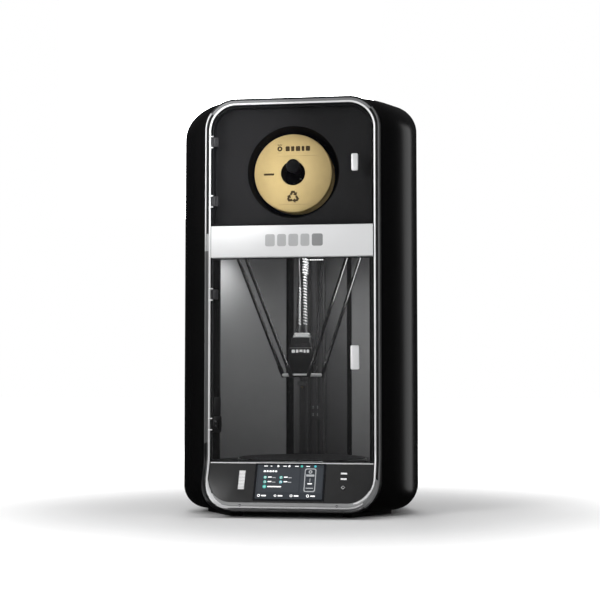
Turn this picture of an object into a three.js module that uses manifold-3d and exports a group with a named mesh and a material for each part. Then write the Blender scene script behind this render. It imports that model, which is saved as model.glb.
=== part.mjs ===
// Enclosed delta printer: a tall black housing with a bright front bezel, an upper glass door in
// front of a filament spool, a lower glass door in front of the print chamber, a silver crossbar
// between them and a sloping control fascia below. Three vertical columns carry rails, carriages,
// belts and paired rods that hold the print head over a round heated bed.
//
// Millimetres, +Z up, +X to the right, the front faces -Y. The origin is on the floor, at the
// middle of the bounding box.

import * as THREE from 'three';
import { mergeVertices } from 'three/addons/utils/BufferGeometryUtils.js';
import Module from 'manifold-3d';

const wasm = await Module();
wasm.setup();

// ---------------------------------------------------------------- driving dimensions
const WIDTH = 595;                 // overall, X
const DEPTH = 550;                 // overall, Y
const HEIGHT = 1030;               // overall, Z
const CHIN = 52;                   // how far the sloping fascia's foot stands in front of the doors
const FRONT = -DEPTH / 2 + CHIN;   // plane of the doors and the bezel
const REAR = DEPTH / 2;
const GAP = 0.4;                   // clearance between neighbouring pieces
const WALL = 3;                    // moulded shell thickness

// bezel
const BZ_HALF = 219;
const BZ_DEPTH = 22;
const BZ_BOTTOM = 11;
const BZ_R = 78;
const OPEN_HALF = 201;
const OPEN_TOP = 1012;
const OPEN_R = 62;
const LIP_TOP = 38.7;              // top of the silver lip under the fascia
const SLOPE_TOP = 132.6;           // where the fascia starts to lean forward

// doors and crossbar
const DOOR_HALF = 199.7;
const GLASS_FRONT = FRONT + 0.5;
const GLASS_T = 4;
const BAR_Z = [634, 712];
const UPPER_Z = [713, 1010.7];
const LOWER_Z = [134, 633];
const HINGE_X = -197.5;
const HINGE_Y = FRONT - 3;
const HINGE_Z = { upper: [922, 774], lower: [543, 224] };

// base and chamber
const PAN_Z = 12;
const FLOOR_Z = [118, 121];
const SHELL_TOP = 1028;

// delta mechanism
const CY = FRONT + 180;            // centre of the delta, Y (X is 0)
const COL_R = 231.8;               // inner face of each column
const COL_D = 26;
const COL_HALF = 27;
const COL_Z = [56, 984];
const JOINT_R = 200;               // rod joints on the carriages
const EFF_R = 43;                  // rod joints on the effector
const JOINT_Z = 727;
const EFF_Z = 345;
const ROD_HALF = 28;               // half the spacing of the two rods of a pair
const ROD_RADIUS = 4.5;
const PULLEY_R = 10.4;
const PULLEY_Z = 95;
const IDLER_Z = 969;
const BED_R = 165;
const BED_TOP = 135;

// spool
const SPOOL_X = -9.5;              // the spool hangs a little left of and above the pocket's centre
const SPOOL_Z = 853.5;
const SPOOL_R = 99;
const SPOOL_FRONT = FRONT + 86;
const SPOOL_W = 65;
const POCKET_R = 113;
const POCKET_Z = 848;
const BAY_BACK = FRONT + 32.5;

// ---------------------------------------------------------------- helpers
const V2 = (x, y) => new THREE.Vector2(x, y);
const V3 = (x, y, z) => new THREE.Vector3(x, y, z);

function solid(geometry) {
  const g = geometry.clone();
  for (const name of Object.keys(g.attributes)) if (name !== 'position') g.deleteAttribute(name);
  const m = mergeVertices(g, 1e-4);
  return new wasm.Manifold(new wasm.Mesh({
    numProp: 3,
    vertProperties: new Float32Array(m.attributes.position.array),
    triVerts: new Uint32Array(m.index.array),
  }));
}

function surface(body) {
  const mesh = body.getMesh();
  const n = mesh.numProp;
  const count = mesh.vertProperties.length / n;
  const pos = new Float32Array(count * 3);
  for (let i = 0; i < count; i++) for (let k = 0; k < 3; k++) pos[3 * i + k] = mesh.vertProperties[n * i + k];
  const g = new THREE.BufferGeometry();
  g.setAttribute('position', new THREE.BufferAttribute(pos, 3));
  g.setIndex(Array.from(mesh.triVerts));
  g.computeVertexNormals();
  return g;
}

const join = (first, ...rest) => surface(rest.reduce((a, g) => a.add(solid(g)), solid(first)));
const cut = (first, ...rest) => surface(rest.reduce((a, g) => a.subtract(solid(g)), solid(first)));
const common = (first, ...rest) => surface(rest.reduce((a, g) => a.intersect(solid(g)), solid(first)));

function box(x0, x1, y0, y1, z0, z1) {
  const g = new THREE.BoxGeometry(x1 - x0, y1 - y0, z1 - z0);
  g.translate((x0 + x1) / 2, (y0 + y1) / 2, (z0 + z1) / 2);
  return g;
}

// cylinder between two points
function rod(a, b, r, sides = 16, r2 = r) {
  const d = b.clone().sub(a);
  const g = new THREE.CylinderGeometry(r2, r, d.length(), sides);
  g.applyQuaternion(new THREE.Quaternion().setFromUnitVectors(V3(0, 1, 0), d.clone().normalize()));
  const m = a.clone().add(b).multiplyScalar(0.5);
  g.translate(m.x, m.y, m.z);
  return g;
}

const extrude = (shape, depth, curveSegments = 8) =>
  new THREE.ExtrudeGeometry(shape, { depth, bevelEnabled: false, curveSegments, steps: 1 });

// an X-Z outline between two Y planes
function prismY(shape, y0, y1, seg = 8) {
  const g = extrude(shape, y1 - y0, seg);
  g.rotateX(Math.PI / 2);
  g.translate(0, y1, 0);
  return g;
}

// a Y-Z outline between two X planes
function prismX(points, x0, x1) {
  const g = extrude(new THREE.Shape(points), x1 - x0);
  g.applyMatrix4(new THREE.Matrix4().makeBasis(V3(0, 1, 0), V3(0, 0, 1), V3(1, 0, 0)));
  g.translate(x0, 0, 0);
  return g;
}

// an X-Y outline between two Z planes
function prismZ(points, z0, z1) {
  const g = extrude(new THREE.Shape(points), z1 - z0);
  g.translate(0, 0, z0);
  return g;
}

// rectangle with its own corner radius at the top and at the bottom
function roundedRect(half, z0, z1, rTop, rBottom, x0 = -half, x1 = half) {
  const s = new THREE.Shape();
  s.moveTo(x0 + rBottom, z0);
  s.lineTo(x1 - rBottom, z0);
  if (rBottom) s.absarc(x1 - rBottom, z0 + rBottom, rBottom, -Math.PI / 2, 0, false);
  s.lineTo(x1, z1 - rTop);
  if (rTop) s.absarc(x1 - rTop, z1 - rTop, rTop, 0, Math.PI / 2, false);
  s.lineTo(x0 + rTop, z1);
  if (rTop) s.absarc(x0 + rTop, z1 - rTop, rTop, Math.PI / 2, Math.PI, false);
  s.lineTo(x0, z0 + rBottom);
  if (rBottom) s.absarc(x0 + rBottom, z0 + rBottom, rBottom, Math.PI, Math.PI * 1.5, false);
  return s;
}

// closed body through rings of equal length; the two end rings are capped
function loft(rings) {
  const n = rings[0].length;
  const pos = [];
  const index = [];
  for (const ring of rings) for (const p of ring) pos.push(p.x, p.y, p.z);
  for (let i = 0; i + 1 < rings.length; i++) {
    for (let k = 0; k < n; k++) {
      const a = i * n + k;
      const b = i * n + ((k + 1) % n);
      index.push(a, b, b + n, a, b + n, a + n);
    }
  }
  for (const end of [0, rings.length - 1]) {
    const c = V3(0, 0, 0);
    for (const p of rings[end]) c.add(p);
    c.multiplyScalar(1 / n);
    pos.push(c.x, c.y, c.z);
    const m = pos.length / 3 - 1;
    for (let k = 0; k < n; k++) {
      const a = end * n + k;
      const b = end * n + ((k + 1) % n);
      if (end) index.push(a, b, m); else index.push(b, a, m);
    }
  }
  let volume = 0;
  const P = (i) => V3(pos[3 * i], pos[3 * i + 1], pos[3 * i + 2]);
  for (let i = 0; i < index.length; i += 3) volume += P(index[i]).dot(P(index[i + 1]).cross(P(index[i + 2])));
  if (volume < 0) for (let i = 0; i < index.length; i += 3) [index[i + 1], index[i + 2]] = [index[i + 2], index[i + 1]];
  const g = new THREE.BufferGeometry();
  g.setAttribute('position', new THREE.BufferAttribute(new Float32Array(pos), 3));
  g.setIndex(index);
  return g;
}

// straight-line table lookup
function table(rows, y, column) {
  if (y <= rows[0][0]) return rows[0][column];
  for (let i = 0; i + 1 < rows.length; i++) {
    if (y <= rows[i + 1][0]) {
      const t = (y - rows[i][0]) / (rows[i + 1][0] - rows[i][0]);
      return rows[i][column] + t * (rows[i + 1][column] - rows[i][column]);
    }
  }
  return rows[rows.length - 1][column];
}

const group = new THREE.Group();
const finishes = {
  gloss_black: { color: 0x0b0b0c, roughness: 0.3, metalness: 0 },
  matt_black: { color: 0x161617, roughness: 0.6, metalness: 0 },
  liner: { color: 0x6b6c6e, roughness: 0.6, metalness: 0 },
  silver: { color: 0xd6d8da, roughness: 0.25, metalness: 1 },
  glass: { color: 0x3a3c40, roughness: 0.05, metalness: 0 },
  screen: { color: 0x2c3036, roughness: 0.15, metalness: 0 },
  white: { color: 0xececec, roughness: 0.5, metalness: 0 },
  card: { color: 0xd9c48f, roughness: 0.8, metalness: 0 },
  filament: { color: 0x2b2b2d, roughness: 0.4, metalness: 0 },
  alloy: { color: 0x8b8e92, roughness: 0.4, metalness: 1 },
  steel: { color: 0xb9bcbf, roughness: 0.25, metalness: 1 },
  carbon: { color: 0x1c1c1e, roughness: 0.35, metalness: 0 },
  rubber: { color: 0x101010, roughness: 0.9, metalness: 0 },
  brass: { color: 0xb89a4a, roughness: 0.35, metalness: 1 },
  hose: { color: 0xd8d9da, roughness: 0.6, metalness: 0 },
};

function add(name, geometry, finish, parent = group) {
  const mesh = new THREE.Mesh(geometry, new THREE.MeshStandardMaterial(finishes[finish]));
  mesh.name = name;
  parent.add(mesh);
  return mesh;
}

// ---------------------------------------------------------------- housing shell
// [Y from the front plane, half width, top corner radius, bottom corner radius, top, bottom]
const STATIONS = [
  [22, 219, 78, 78, 1028, 12],
  [33, 236, 72, 74, 1028, 12],
  [45, 252, 75, 69, 1028, 12],
  [65, 270.5, 80, 61, 1028, 12],
  [88, 285, 83, 56, 1028, 12],
  [113, 293.5, 80, 55, 1028, 12],
  [140, 297.5, 70, 60, 1028, 12],
  [207, 291, 62, 66, 1028, 12],
  [295, 268, 50, 62, 1028, 12],
  [385, 222, 42, 60, 1028, 12],
  [460, 160, 36, 54, 1028, 12],
  [490, 118, 30, 44, 1024, 16],
  [498, 98, 26, 36, 1016, 24],
].map((r) => [r[0] + FRONT, ...r.slice(1)]);

function ringAt(y, half, rt, rb, zt, zb) {
  const pts = [];
  const arc = (cx, cz, r, a0, a1, n) => {
    for (let i = 0; i <= n; i++) {
      const a = a0 + ((a1 - a0) * i) / n;
      pts.push(V3(cx + r * Math.cos(a), y, cz + r * Math.sin(a)));
    }
  };
  arc(half - rb, zb + rb, rb, -Math.PI / 2, 0, 5);
  arc(half - rt, zt - rt, rt, 0, Math.PI / 2, 5);
  arc(-half + rt, zt - rt, rt, Math.PI / 2, Math.PI, 5);
  arc(-half + rb, zb + rb, rb, Math.PI, Math.PI * 1.5, 5);
  return pts;
}

// the same outline moved inwards by t, square to the wall
function inset(t) {
  const rows = [];
  const n = STATIONS.length;
  for (let i = 0; i < n; i++) {
    const a = STATIONS[Math.max(0, i - 1)];
    const b = STATIONS[Math.min(n - 1, i + 1)];
    const d = V2(b[0] - a[0], b[1] - a[1]).normalize();
    const s = STATIONS[i];
    rows.push([s[0] + t * d.y * -1 * -1, s[1] - t * Math.abs(d.x), Math.max(8, s[2] - t), Math.max(8, s[3] - t), s[4] - t, s[5] + t]);
  }
  return rows;
}

const outer = loft(STATIONS.map((s) => ringAt(...s)));
const innerRows = inset(WALL).filter((r, i, all) => i === 0 || r[0] > all[i - 1][0]);
innerRows[0] = [FRONT + BZ_DEPTH - 2, ...innerRows[0].slice(1)];
innerRows[innerRows.length - 1][0] = REAR - WALL;
for (let i = innerRows.length - 2; i > 0; i--) {
  innerRows[i][0] = Math.min(innerRows[i][0], innerRows[i + 1][0] - 1);
}
const inner = loft(innerRows.map((s) => ringAt(...s)));
const skin = cut(outer, inner);

const half = (y) => table(STATIONS, y, 1);
const flatTop = (y) => table(STATIONS, y, 1) - table(STATIONS, y, 2);
const flatBottom = (y) => table(STATIONS, y, 1) - table(STATIONS, y, 3);

function outline(widthAt, y0, y1, steps) {
  const right = [];
  for (let i = 0; i <= steps; i++) {
    const y = y0 + ((y1 - y0) * i) / steps;
    right.push(V2(widthAt(y), y));
  }
  return [...right, ...right.slice().reverse().map((p) => V2(-p.x, p.y))];
}

const REAR_HALF = 82;
const REAR_FROM = 238;
const roof = (e) => prismZ(outline((y) => flatTop(y) - 8 + e, FRONT + BZ_DEPTH - 5, REAR_FROM - GAP + e, 12), 1000, 1040);
const pan = (e) => prismZ(outline((y) => flatBottom(y) - 4 + e, FRONT + BZ_DEPTH - 5, REAR_FROM - GAP + e, 12), 0, 30);
const back = (e) => box(-REAR_HALF - e, REAR_HALF + e, REAR_FROM - e, REAR + 5, 0, 1040);

const sides = cut(skin, roof(GAP), pan(GAP), back(GAP));
add('shell_left', common(sides, box(-400, -20, -400, 400, 0, 1100)), 'gloss_black');
add('shell_right', common(sides, box(20, 400, -400, 400, 0, 1100)), 'gloss_black');
add('top_cover', common(skin, roof(0)), 'gloss_black');
add('base_pan', common(skin, pan(0)), 'matt_black');

// rear cover: the flat back strip with two stiffening flanges, vent slots and the inlet opening
const vents = [];
for (let i = 0; i < 9; i++) vents.push(box(-46, 46, REAR - 20, REAR + 5, 700 + i * 16, 706 + i * 16));
const inletHole = box(-26, 26, REAR - 20, REAR + 5, 52, 88);
add('rear_cover', cut(join(
  common(skin, back(0)),
  box(-REAR_HALF + 0.5, -REAR_HALF + 3.5, REAR - 22, REAR - 2, 30, 1006),
  box(REAR_HALF - 3.5, REAR_HALF - 0.5, REAR - 22, REAR - 2, 30, 1006),
), ...vents, inletHole), 'matt_black');

add('power_inlet', cut(join(
  box(-25.6, 25.6, REAR - 4, REAR - 0.6, 52.4, 87.6),
  box(-24, 24, REAR - 26, REAR - 3.9, 54, 86),
), box(-18, 6, REAR - 20, REAR + 2, 60, 80)), 'matt_black');

// ---------------------------------------------------------------- front bezel
const bezelSide = [
  V2(FRONT, HEIGHT + 5), V2(FRONT, SLOPE_TOP + 1.5), V2(-DEPTH / 2, 41), V2(-DEPTH / 2, 24.5),
  V2(-DEPTH / 2 + 4, 18), V2(-DEPTH / 2 + 13, 12.6), V2(-DEPTH / 2 + 24, BZ_BOTTOM), V2(-DEPTH / 2 + 24, BZ_BOTTOM - 5),
  V2(FRONT + BZ_DEPTH - 0.3, BZ_BOTTOM - 5), V2(FRONT + BZ_DEPTH - 0.3, HEIGHT + 5),
];
let bezel = common(
  prismY(roundedRect(BZ_HALF, BZ_BOTTOM, HEIGHT, BZ_R, BZ_R), -DEPTH / 2 - 5, FRONT + BZ_DEPTH, 7),
  prismX(bezelSide, -BZ_HALF - 5, BZ_HALF + 5),
);
bezel = cut(bezel, prismY(roundedRect(OPEN_HALF, LIP_TOP, OPEN_TOP, OPEN_R, 60), -DEPTH / 2 - 5, FRONT + BZ_DEPTH + 5, 7));
// the chin's cheeks are hollowed from behind
bezel = cut(bezel, prismX([
  V2(FRONT + BZ_DEPTH + 2, 36), V2(FRONT - 34, 36), V2(FRONT - 34, 34.7), V2(FRONT - 34, 30), V2(FRONT + BZ_DEPTH + 2, 16),
], -120, 120));
// hinge tabs
const tabs = [];
for (const z of [...HINGE_Z.upper, ...HINGE_Z.lower]) {
  for (const s of [-1, 1]) {
    const z0 = s > 0 ? z + 12.4 : z - 15.4;
    tabs.push(box(-207, HINGE_X + 1.4, FRONT - 5.4, FRONT - 0.3, z0, z0 + 3));
    tabs.push(box(-207, -202, FRONT - 1, FRONT + 2, z0, z0 + 3));
  }
}
add('front_bezel', join(bezel, ...tabs), 'silver');

// ---------------------------------------------------------------- crossbar
const barShape = new THREE.Shape([
  V2(FRONT - 1.4, BAR_Z[0]), V2(FRONT + 20, BAR_Z[0]), V2(FRONT + 20, BAR_Z[1]), V2(FRONT - 1.4, BAR_Z[1]),
  V2(FRONT - 3, BAR_Z[1] - 1.6), V2(FRONT - 3, BAR_Z[0] + 1.6),
]);
let bar = prismX(barShape.getPoints(), -OPEN_HALF + 0.3, OPEN_HALF - 0.3);
bar = cut(bar, box(-190, 190, FRONT + 2, FRONT + 25, BAR_Z[0] + 4, BAR_Z[1] - 4));
add('crossbar', bar, 'silver');

// ---------------------------------------------------------------- sloping fascia
const FX = 1.4;                                            // set back behind the bezel face
const sTop = V3(0, FRONT + FX, SLOPE_TOP);
const sEnd = V3(0, -DEPTH / 2 + FX + 0.3, LIP_TOP + 0.4);
const up = sTop.clone().sub(sEnd).normalize();
const out = V3(0, -up.z, up.y);
const fasciaFrame = new THREE.Matrix4().makeBasis(V3(1, 0, 0), up, out).setPosition(sTop);
// a body in the fascia's own frame: x across, s down the slope, h out of its face
function onFascia(shape, h0, h1, seg = 6) {
  const g = extrude(shape, h1 - h0, seg);
  g.translate(0, 0, h0);
  g.applyMatrix4(fasciaFrame);
  return g;
}
function plate(x0, x1, s0, s1, r = 0) {
  return roundedRect(0, -s1, -s0, r, r, x0, x1);
}
function disc(x, s, r) {
  const c = new THREE.Shape();
  c.absarc(x, -s, r, 0, Math.PI * 2, false);
  return c;
}
const SCREEN = [-87, 86, 4, 102.5];
const LAMP = [-126, -109.2, 22, 74];
const PORTS = [[130.4, 29.3], [130.4, 43.8]];
const BUTTON = [130.2, 66.4];

let fascia = prismX([
  V2(sTop.y, SLOPE_TOP), V2(sEnd.y, sEnd.z), V2(sEnd.y + 4.6, sEnd.z), V2(FRONT + 5, SLOPE_TOP - 3.4), V2(FRONT + 6, SLOPE_TOP - 3.4), V2(FRONT + 6, SLOPE_TOP),
], -OPEN_HALF - 5, OPEN_HALF + 5);
fascia = common(fascia, prismY(roundedRect(OPEN_HALF - 0.3, LIP_TOP + 0.3, 400, 0, 59.7), -DEPTH / 2 - 5, FRONT + 40, 7));
fascia = cut(fascia,
  onFascia(plate(SCREEN[0] - GAP, SCREEN[1] + GAP, SCREEN[2] - GAP, SCREEN[3] + GAP), -9, 6),
  onFascia(plate(LAMP[0] - GAP, LAMP[1] + GAP, LAMP[2] - GAP, LAMP[3] + GAP), -9, 6),
  onFascia(plate(PORTS[0][0] - 7.9, PORTS[0][0] + 7.9, PORTS[0][1] - 4.1, PORTS[0][1] + 4.1), -9, 6),
  onFascia(plate(PORTS[1][0] - 7.9, PORTS[1][0] + 7.9, PORTS[1][1] - 4.1, PORTS[1][1] + 4.1), -9, 6),
  onFascia(disc(BUTTON[0], BUTTON[1], 5.9), -9, 6, 8),
);
add('fascia_panel', fascia, 'matt_black');
add('touchscreen', onFascia(plate(SCREEN[0], SCREEN[1], SCREEN[2], SCREEN[3], 2), -6.5, 0.9, 2), 'screen');
add('status_light', onFascia(plate(LAMP[0], LAMP[1], LAMP[2], LAMP[3]), -7, 0.5), 'white');
add('usb_ports', join(
  onFascia(plate(119, 142, 22, 52), -9, -5.2),
  onFascia(plate(PORTS[0][0] - 7.5, PORTS[0][0] + 7.5, PORTS[0][1] - 3.7, PORTS[0][1] + 3.7), -6, 0.4),
  onFascia(plate(PORTS[1][0] - 7.5, PORTS[1][0] + 7.5, PORTS[1][1] - 3.7, PORTS[1][1] + 3.7), -6, 0.4),
), 'white');
add('power_button', join(
  onFascia(disc(BUTTON[0], BUTTON[1], 5.5), -6, 1.6, 8),
  onFascia(disc(BUTTON[0], BUTTON[1], 8), -7.4, -5.4, 8),
), 'white');

// ---------------------------------------------------------------- doors
function glass(z0, z1, rTop) {
  return prismY(roundedRect(DOOR_HALF, z0, z1, rTop, 0), GLASS_FRONT, GLASS_FRONT + GLASS_T, 7);
}
add('upper_door_glass', glass(UPPER_Z[0], UPPER_Z[1], OPEN_R - 1.3), 'glass');
add('lower_door_glass', glass(LOWER_Z[0], LOWER_Z[1], 0), 'glass');

function pull(x0, x1, z0, z1) {
  const g = prismY(roundedRect(0, z0, z1, 4, 4, x0, x1), FRONT - 8, GLASS_FRONT - 0.3, 3);
  return g;
}
add('upper_door_pull', pull(149, 165, 843, 885), 'silver');
add('lower_door_pull', pull(146, 167, 357.5, 416), 'silver');

function leaf(z, w, h) {
  return join(
    rod(V3(HINGE_X, HINGE_Y, z - 12), V3(HINGE_X, HINGE_Y, z + 12), 2.3, 10),
    box(HINGE_X, -200 + w, HINGE_Y - 0.9, HINGE_Y + 0.9, z - 11, z + 11),
    box(HINGE_X + 4, -200 + w, HINGE_Y - 0.9, GLASS_FRONT - 0.3, z - h / 2, z + h / 2),
  );
}
add('hinge_upper_top', leaf(HINGE_Z.upper[0], 17, 24), 'matt_black');
add('hinge_upper_bottom', leaf(HINGE_Z.upper[1], 17, 24), 'matt_black');
add('hinge_lower_top', leaf(HINGE_Z.lower[0], 17, 24), 'matt_black');
add('hinge_lower_bottom', leaf(HINGE_Z.lower[1], 19, 24), 'matt_black');

// ---------------------------------------------------------------- spool bay
const bayOuter = prismY(roundedRect(199, UPPER_Z[0] + 1, 1010, 60, 0), FRONT + 6.5, BAY_BACK, 6);
const bayInner = prismY(roundedRect(196.5, UPPER_Z[0] + 3.5, 1007.5, 57.5, 0), FRONT, BAY_BACK - 2.5, 6);
const cylY = (r, y0, y1, z, sides = 28, x = 0) => rod(V3(x, y0, z), V3(x, y1, z), r, sides);
add('spool_bay', cut(
  join(cut(bayOuter, bayInner), cylY(POCKET_R + 2.5, BAY_BACK - 2.5, FRONT + 154, POCKET_Z)),
  cylY(POCKET_R, BAY_BACK - 10, FRONT + 151.5, POCKET_Z),
), 'matt_black');

add('spool_arm', join(
  cylY(12, FRONT + 82, FRONT + 151.2, SPOOL_Z + 18.1, 14, SPOOL_X),
  cylY(17.5, FRONT + 80.5, FRONT + 85, SPOOL_Z + 18.1, 16, SPOOL_X),
), 'matt_black');

const spoolProfile = [[30.5, 0], [SPOOL_R, 0], [SPOOL_R, 3], [44, 3], [44, SPOOL_W - 3], [SPOOL_R, SPOOL_W - 3], [SPOOL_R, SPOOL_W], [30.5, SPOOL_W], [30.5, 0]];
const spool = new THREE.LatheGeometry(spoolProfile.map((p) => V2(p[0], p[1])), 32);
add('filament_spool', spool, 'card').position.set(SPOOL_X, SPOOL_FRONT, SPOOL_Z);
const windProfile = [[44.4, 3.4], [88, 3.4], [88, SPOOL_W - 3.4], [44.4, SPOOL_W - 3.4], [44.4, 3.4]];
add('filament_winding', new THREE.LatheGeometry(windProfile.map((p) => V2(p[0], p[1])), 28), 'filament').position.set(SPOOL_X, SPOOL_FRONT, SPOOL_Z);

// ---------------------------------------------------------------- delta motion
// each tower is drawn on local axes: +X radially outwards, +Y along the tangent
const towers = { left: 210, right: 330, rear: 90 };
const rodNames = {
  left: ['rod_left_rear', 'rod_left_front'],
  right: ['rod_right_front', 'rod_right_rear'],
  rear: ['rod_rear_right', 'rod_rear_left'],
};
for (const [name, degrees] of Object.entries(towers)) {
  const tower = new THREE.Group();
  tower.position.set(0, CY, 0);
  tower.rotation.z = THREE.MathUtils.degToRad(degrees);
  group.add(tower);

  // hollow column with a slot down its inner face
  add(`column_${name}`, cut(
    box(COL_R, COL_R + COL_D, -COL_HALF, COL_HALF, COL_Z[0], COL_Z[1]),
    box(COL_R + 3, COL_R + COL_D - 3, -COL_HALF + 3, COL_HALF - 3, COL_Z[0] - 5, COL_Z[1] + 5),
    box(COL_R - 2, COL_R + 5, 17, 21, COL_Z[0] - 5, COL_Z[1] + 5),
    box(COL_R - 2, COL_R + 5, -21, -17, COL_Z[0] - 5, 900),
  ), 'matt_black', tower);

  add(`rail_${name}`, cut(
    box(COL_R - 8.3, COL_R - 0.4, -6, 6, 128, 956),
    box(COL_R - 6.5, COL_R - 3.5, -8, -4.6, 120, 990),
    box(COL_R - 6.5, COL_R - 3.5, 4.6, 8, 120, 990),
  ), 'steel', tower);

  // carriage block, belt clamp and the cross bar that carries the two rod joints
  const z = JOINT_Z;
  add(`carriage_${name}`, join(
    box(209, COL_R - 9, -20, 20, z - 28, z + 26),
    box(COL_R - 9.4, COL_R - 7.6, -19, -13.4, z - 22, z + 22),
    box(COL_R - 9.4, COL_R - 7.6, 13.4, 19, z - 22, z + 22),
    box(JOINT_R - 5, 210, -12, 12, z - 6, z + 6),
    rod(V3(JOINT_R, -22.5, z), V3(JOINT_R, 22.5, z), 4.2, 10),
  ), 'alloy', tower);

  // belt loop beside the rail
  const loop = new THREE.Shape();
  const b = PULLEY_R + 0.4;
  const t = 1.5;
  loop.absarc(0, IDLER_Z, b + t, 0, Math.PI, false);
  loop.absarc(0, PULLEY_Z, b + t, Math.PI, Math.PI * 2, false);
  const hole = new THREE.Path();
  hole.absarc(0, IDLER_Z, b, 0, Math.PI, false);
  hole.absarc(0, PULLEY_Z, b, Math.PI, Math.PI * 2, false);
  loop.holes.push(hole);
  const belt = extrude(loop, 5.6, 6);
  belt.applyMatrix4(new THREE.Matrix4().makeBasis(V3(0, 1, 0), V3(0, 0, 1), V3(1, 0, 0)));
  belt.translate(COL_R - 7, 0, 0);
  add(`belt_${name}`, belt, 'rubber', tower);

  // drive pulley with its shaft; the axis is radial
  const pr = [[0, -10], [2.5, -10], [2.5, -8.4], [12.8, -8.4], [12.8, -7.4], [PULLEY_R, -7.4], [PULLEY_R, -1.1], [12.8, -1.1], [12.8, -0.5], [0, -0.5]];
  const pulley = new THREE.LatheGeometry(pr.map((p) => V2(p[0], p[1])), 14);
  pulley.rotateZ(-Math.PI / 2);
  pulley.translate(COL_R, 0, PULLEY_Z);
  add(`drive_pulley_${name}`, pulley, 'alloy', tower);

  // square stepping motor, shaft outwards
  add(`motor_${name}`, join(
    prismX([V2(-21.1, PULLEY_Z - 17), V2(-17, PULLEY_Z - 21.1), V2(17, PULLEY_Z - 21.1), V2(21.1, PULLEY_Z - 17), V2(21.1, PULLEY_Z + 17), V2(17, PULLEY_Z + 21.1), V2(-17, PULLEY_Z + 21.1), V2(-21.1, PULLEY_Z + 17)], COL_R - 52, COL_R - 12.5),
    rod(V3(COL_R - 13, 0, PULLEY_Z), V3(COL_R - 10.5, 0, PULLEY_Z), 11, 14),
  ), 'matt_black', tower);

  // the two rods of the pair
  [1, -1].forEach((side, i) => {
    const a = V3(EFF_R, side * ROD_HALF, EFF_Z);
    const c = V3(JOINT_R, side * ROD_HALF, JOINT_Z);
    const d = c.clone().sub(a).normalize();
    add(rodNames[name][i], join(
      rod(a.clone().addScaledVector(d, -5), c.clone().addScaledVector(d, 5), ROD_RADIUS, 8),
      rod(a.clone().addScaledVector(d, -6), a.clone().addScaledVector(d, 26), 5.1, 8),
      rod(c.clone().addScaledVector(d, -26), c.clone().addScaledVector(d, 6), 5.1, 8),
    ), 'carbon', tower);
  });
}

// ---------------------------------------------------------------- print head
const head = new THREE.Group();
head.position.set(0, CY, 0);
group.add(head);
const spokes = [];
for (const degrees of Object.values(towers)) {
  const m = new THREE.Matrix4().makeRotationZ(THREE.MathUtils.degToRad(degrees));
  for (const g of [box(14, EFF_R, -15, 15, EFF_Z - 5, EFF_Z + 1), rod(V3(EFF_R, -22.5, EFF_Z), V3(EFF_R, 22.5, EFF_Z), 4.2, 10)]) {
    spokes.push(g.applyMatrix4(m));
  }
}
add('effector_plate', cut(
  join(rod(V3(0, 0, EFF_Z - 5), V3(0, 0, EFF_Z + 1), 34, 24), ...spokes),
  rod(V3(0, 0, EFF_Z - 20), V3(0, 0, EFF_Z + 20), 9.3, 14),
), 'matt_black', head);

add('head_cover', join(
  prismZ(roundedRect(0, -22, 20, 6, 6, -24, 24).getPoints(2), EFF_Z + 1.4, EFF_Z + 6),
  prismZ(roundedRect(0, -29, 27, 8, 8, -32, 32).getPoints(3), EFF_Z + 4.8, 428),
  prismZ(roundedRect(0, -25, 24, 8, 8, -27, 27).getPoints(3), 427, 441),
  prismZ(roundedRect(0, -20, 20, 3, 3, -21, 21).getPoints(1), 440, 446),
  prismZ(roundedRect(0, -17, 17, 3, 3, -18.5, 18.5).getPoints(1), 445, 453),
  box(31, 37, -14, 8, 372, 420),
), 'matt_black', head);

const hot = [[0, -34], [1, -34], [3.6, -30.5], [3.6, -27], [8.6, -27], [8.6, -16], [5, -16], [5, -9], [8.6, -9], [8.6, 1], [0, 1]];
const hotGeometry = new THREE.LatheGeometry(hot.map((p) => V2(p[0], p[1])), 12);
hotGeometry.rotateX(Math.PI / 2);
hotGeometry.translate(0, 0, EFF_Z);
add('hotend', join(hotGeometry, box(-11, 11, -12, 8, EFF_Z - 26, EFF_Z - 16)), 'brass', head);

// ---------------------------------------------------------------- supply hose
const HOSE_R = 8.5;
const hosePath = new THREE.CatmullRomCurve3([
  V3(5, CY + 17, 453.5), V3(5, CY + 18, 500), V3(3, CY + 30, 600), V3(4, CY + 44, 720), V3(8, CY + 44, 850), V3(10, CY + 36, 950), V3(10, CY + 34, 1018),
]);
const hoseSection = new THREE.Shape();
hoseSection.absarc(0, 0, HOSE_R, 0, Math.PI * 2, false);
add('umbilical_hose', new THREE.ExtrudeGeometry(hoseSection, { steps: 18, extrudePath: hosePath, curveSegments: 4, bevelEnabled: false }), 'hose');

// ---------------------------------------------------------------- bed and chamber floor
const bedFeet = [30, 150, 270].map((degrees) => {
  const a = THREE.MathUtils.degToRad(degrees);
  return rod(V3(140 * Math.cos(a), CY + 140 * Math.sin(a), FLOOR_Z[1] + 0.3), V3(140 * Math.cos(a), CY + 140 * Math.sin(a), 126), 8, 10);
});
add('heated_bed', join(rod(V3(0, CY, 125), V3(0, CY, 133.6), BED_R, 44), ...bedFeet), 'alloy');
add('build_sheet', rod(V3(0, CY, 133.9), V3(0, CY, BED_TOP), BED_R - 3, 44), 'matt_black');

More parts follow.
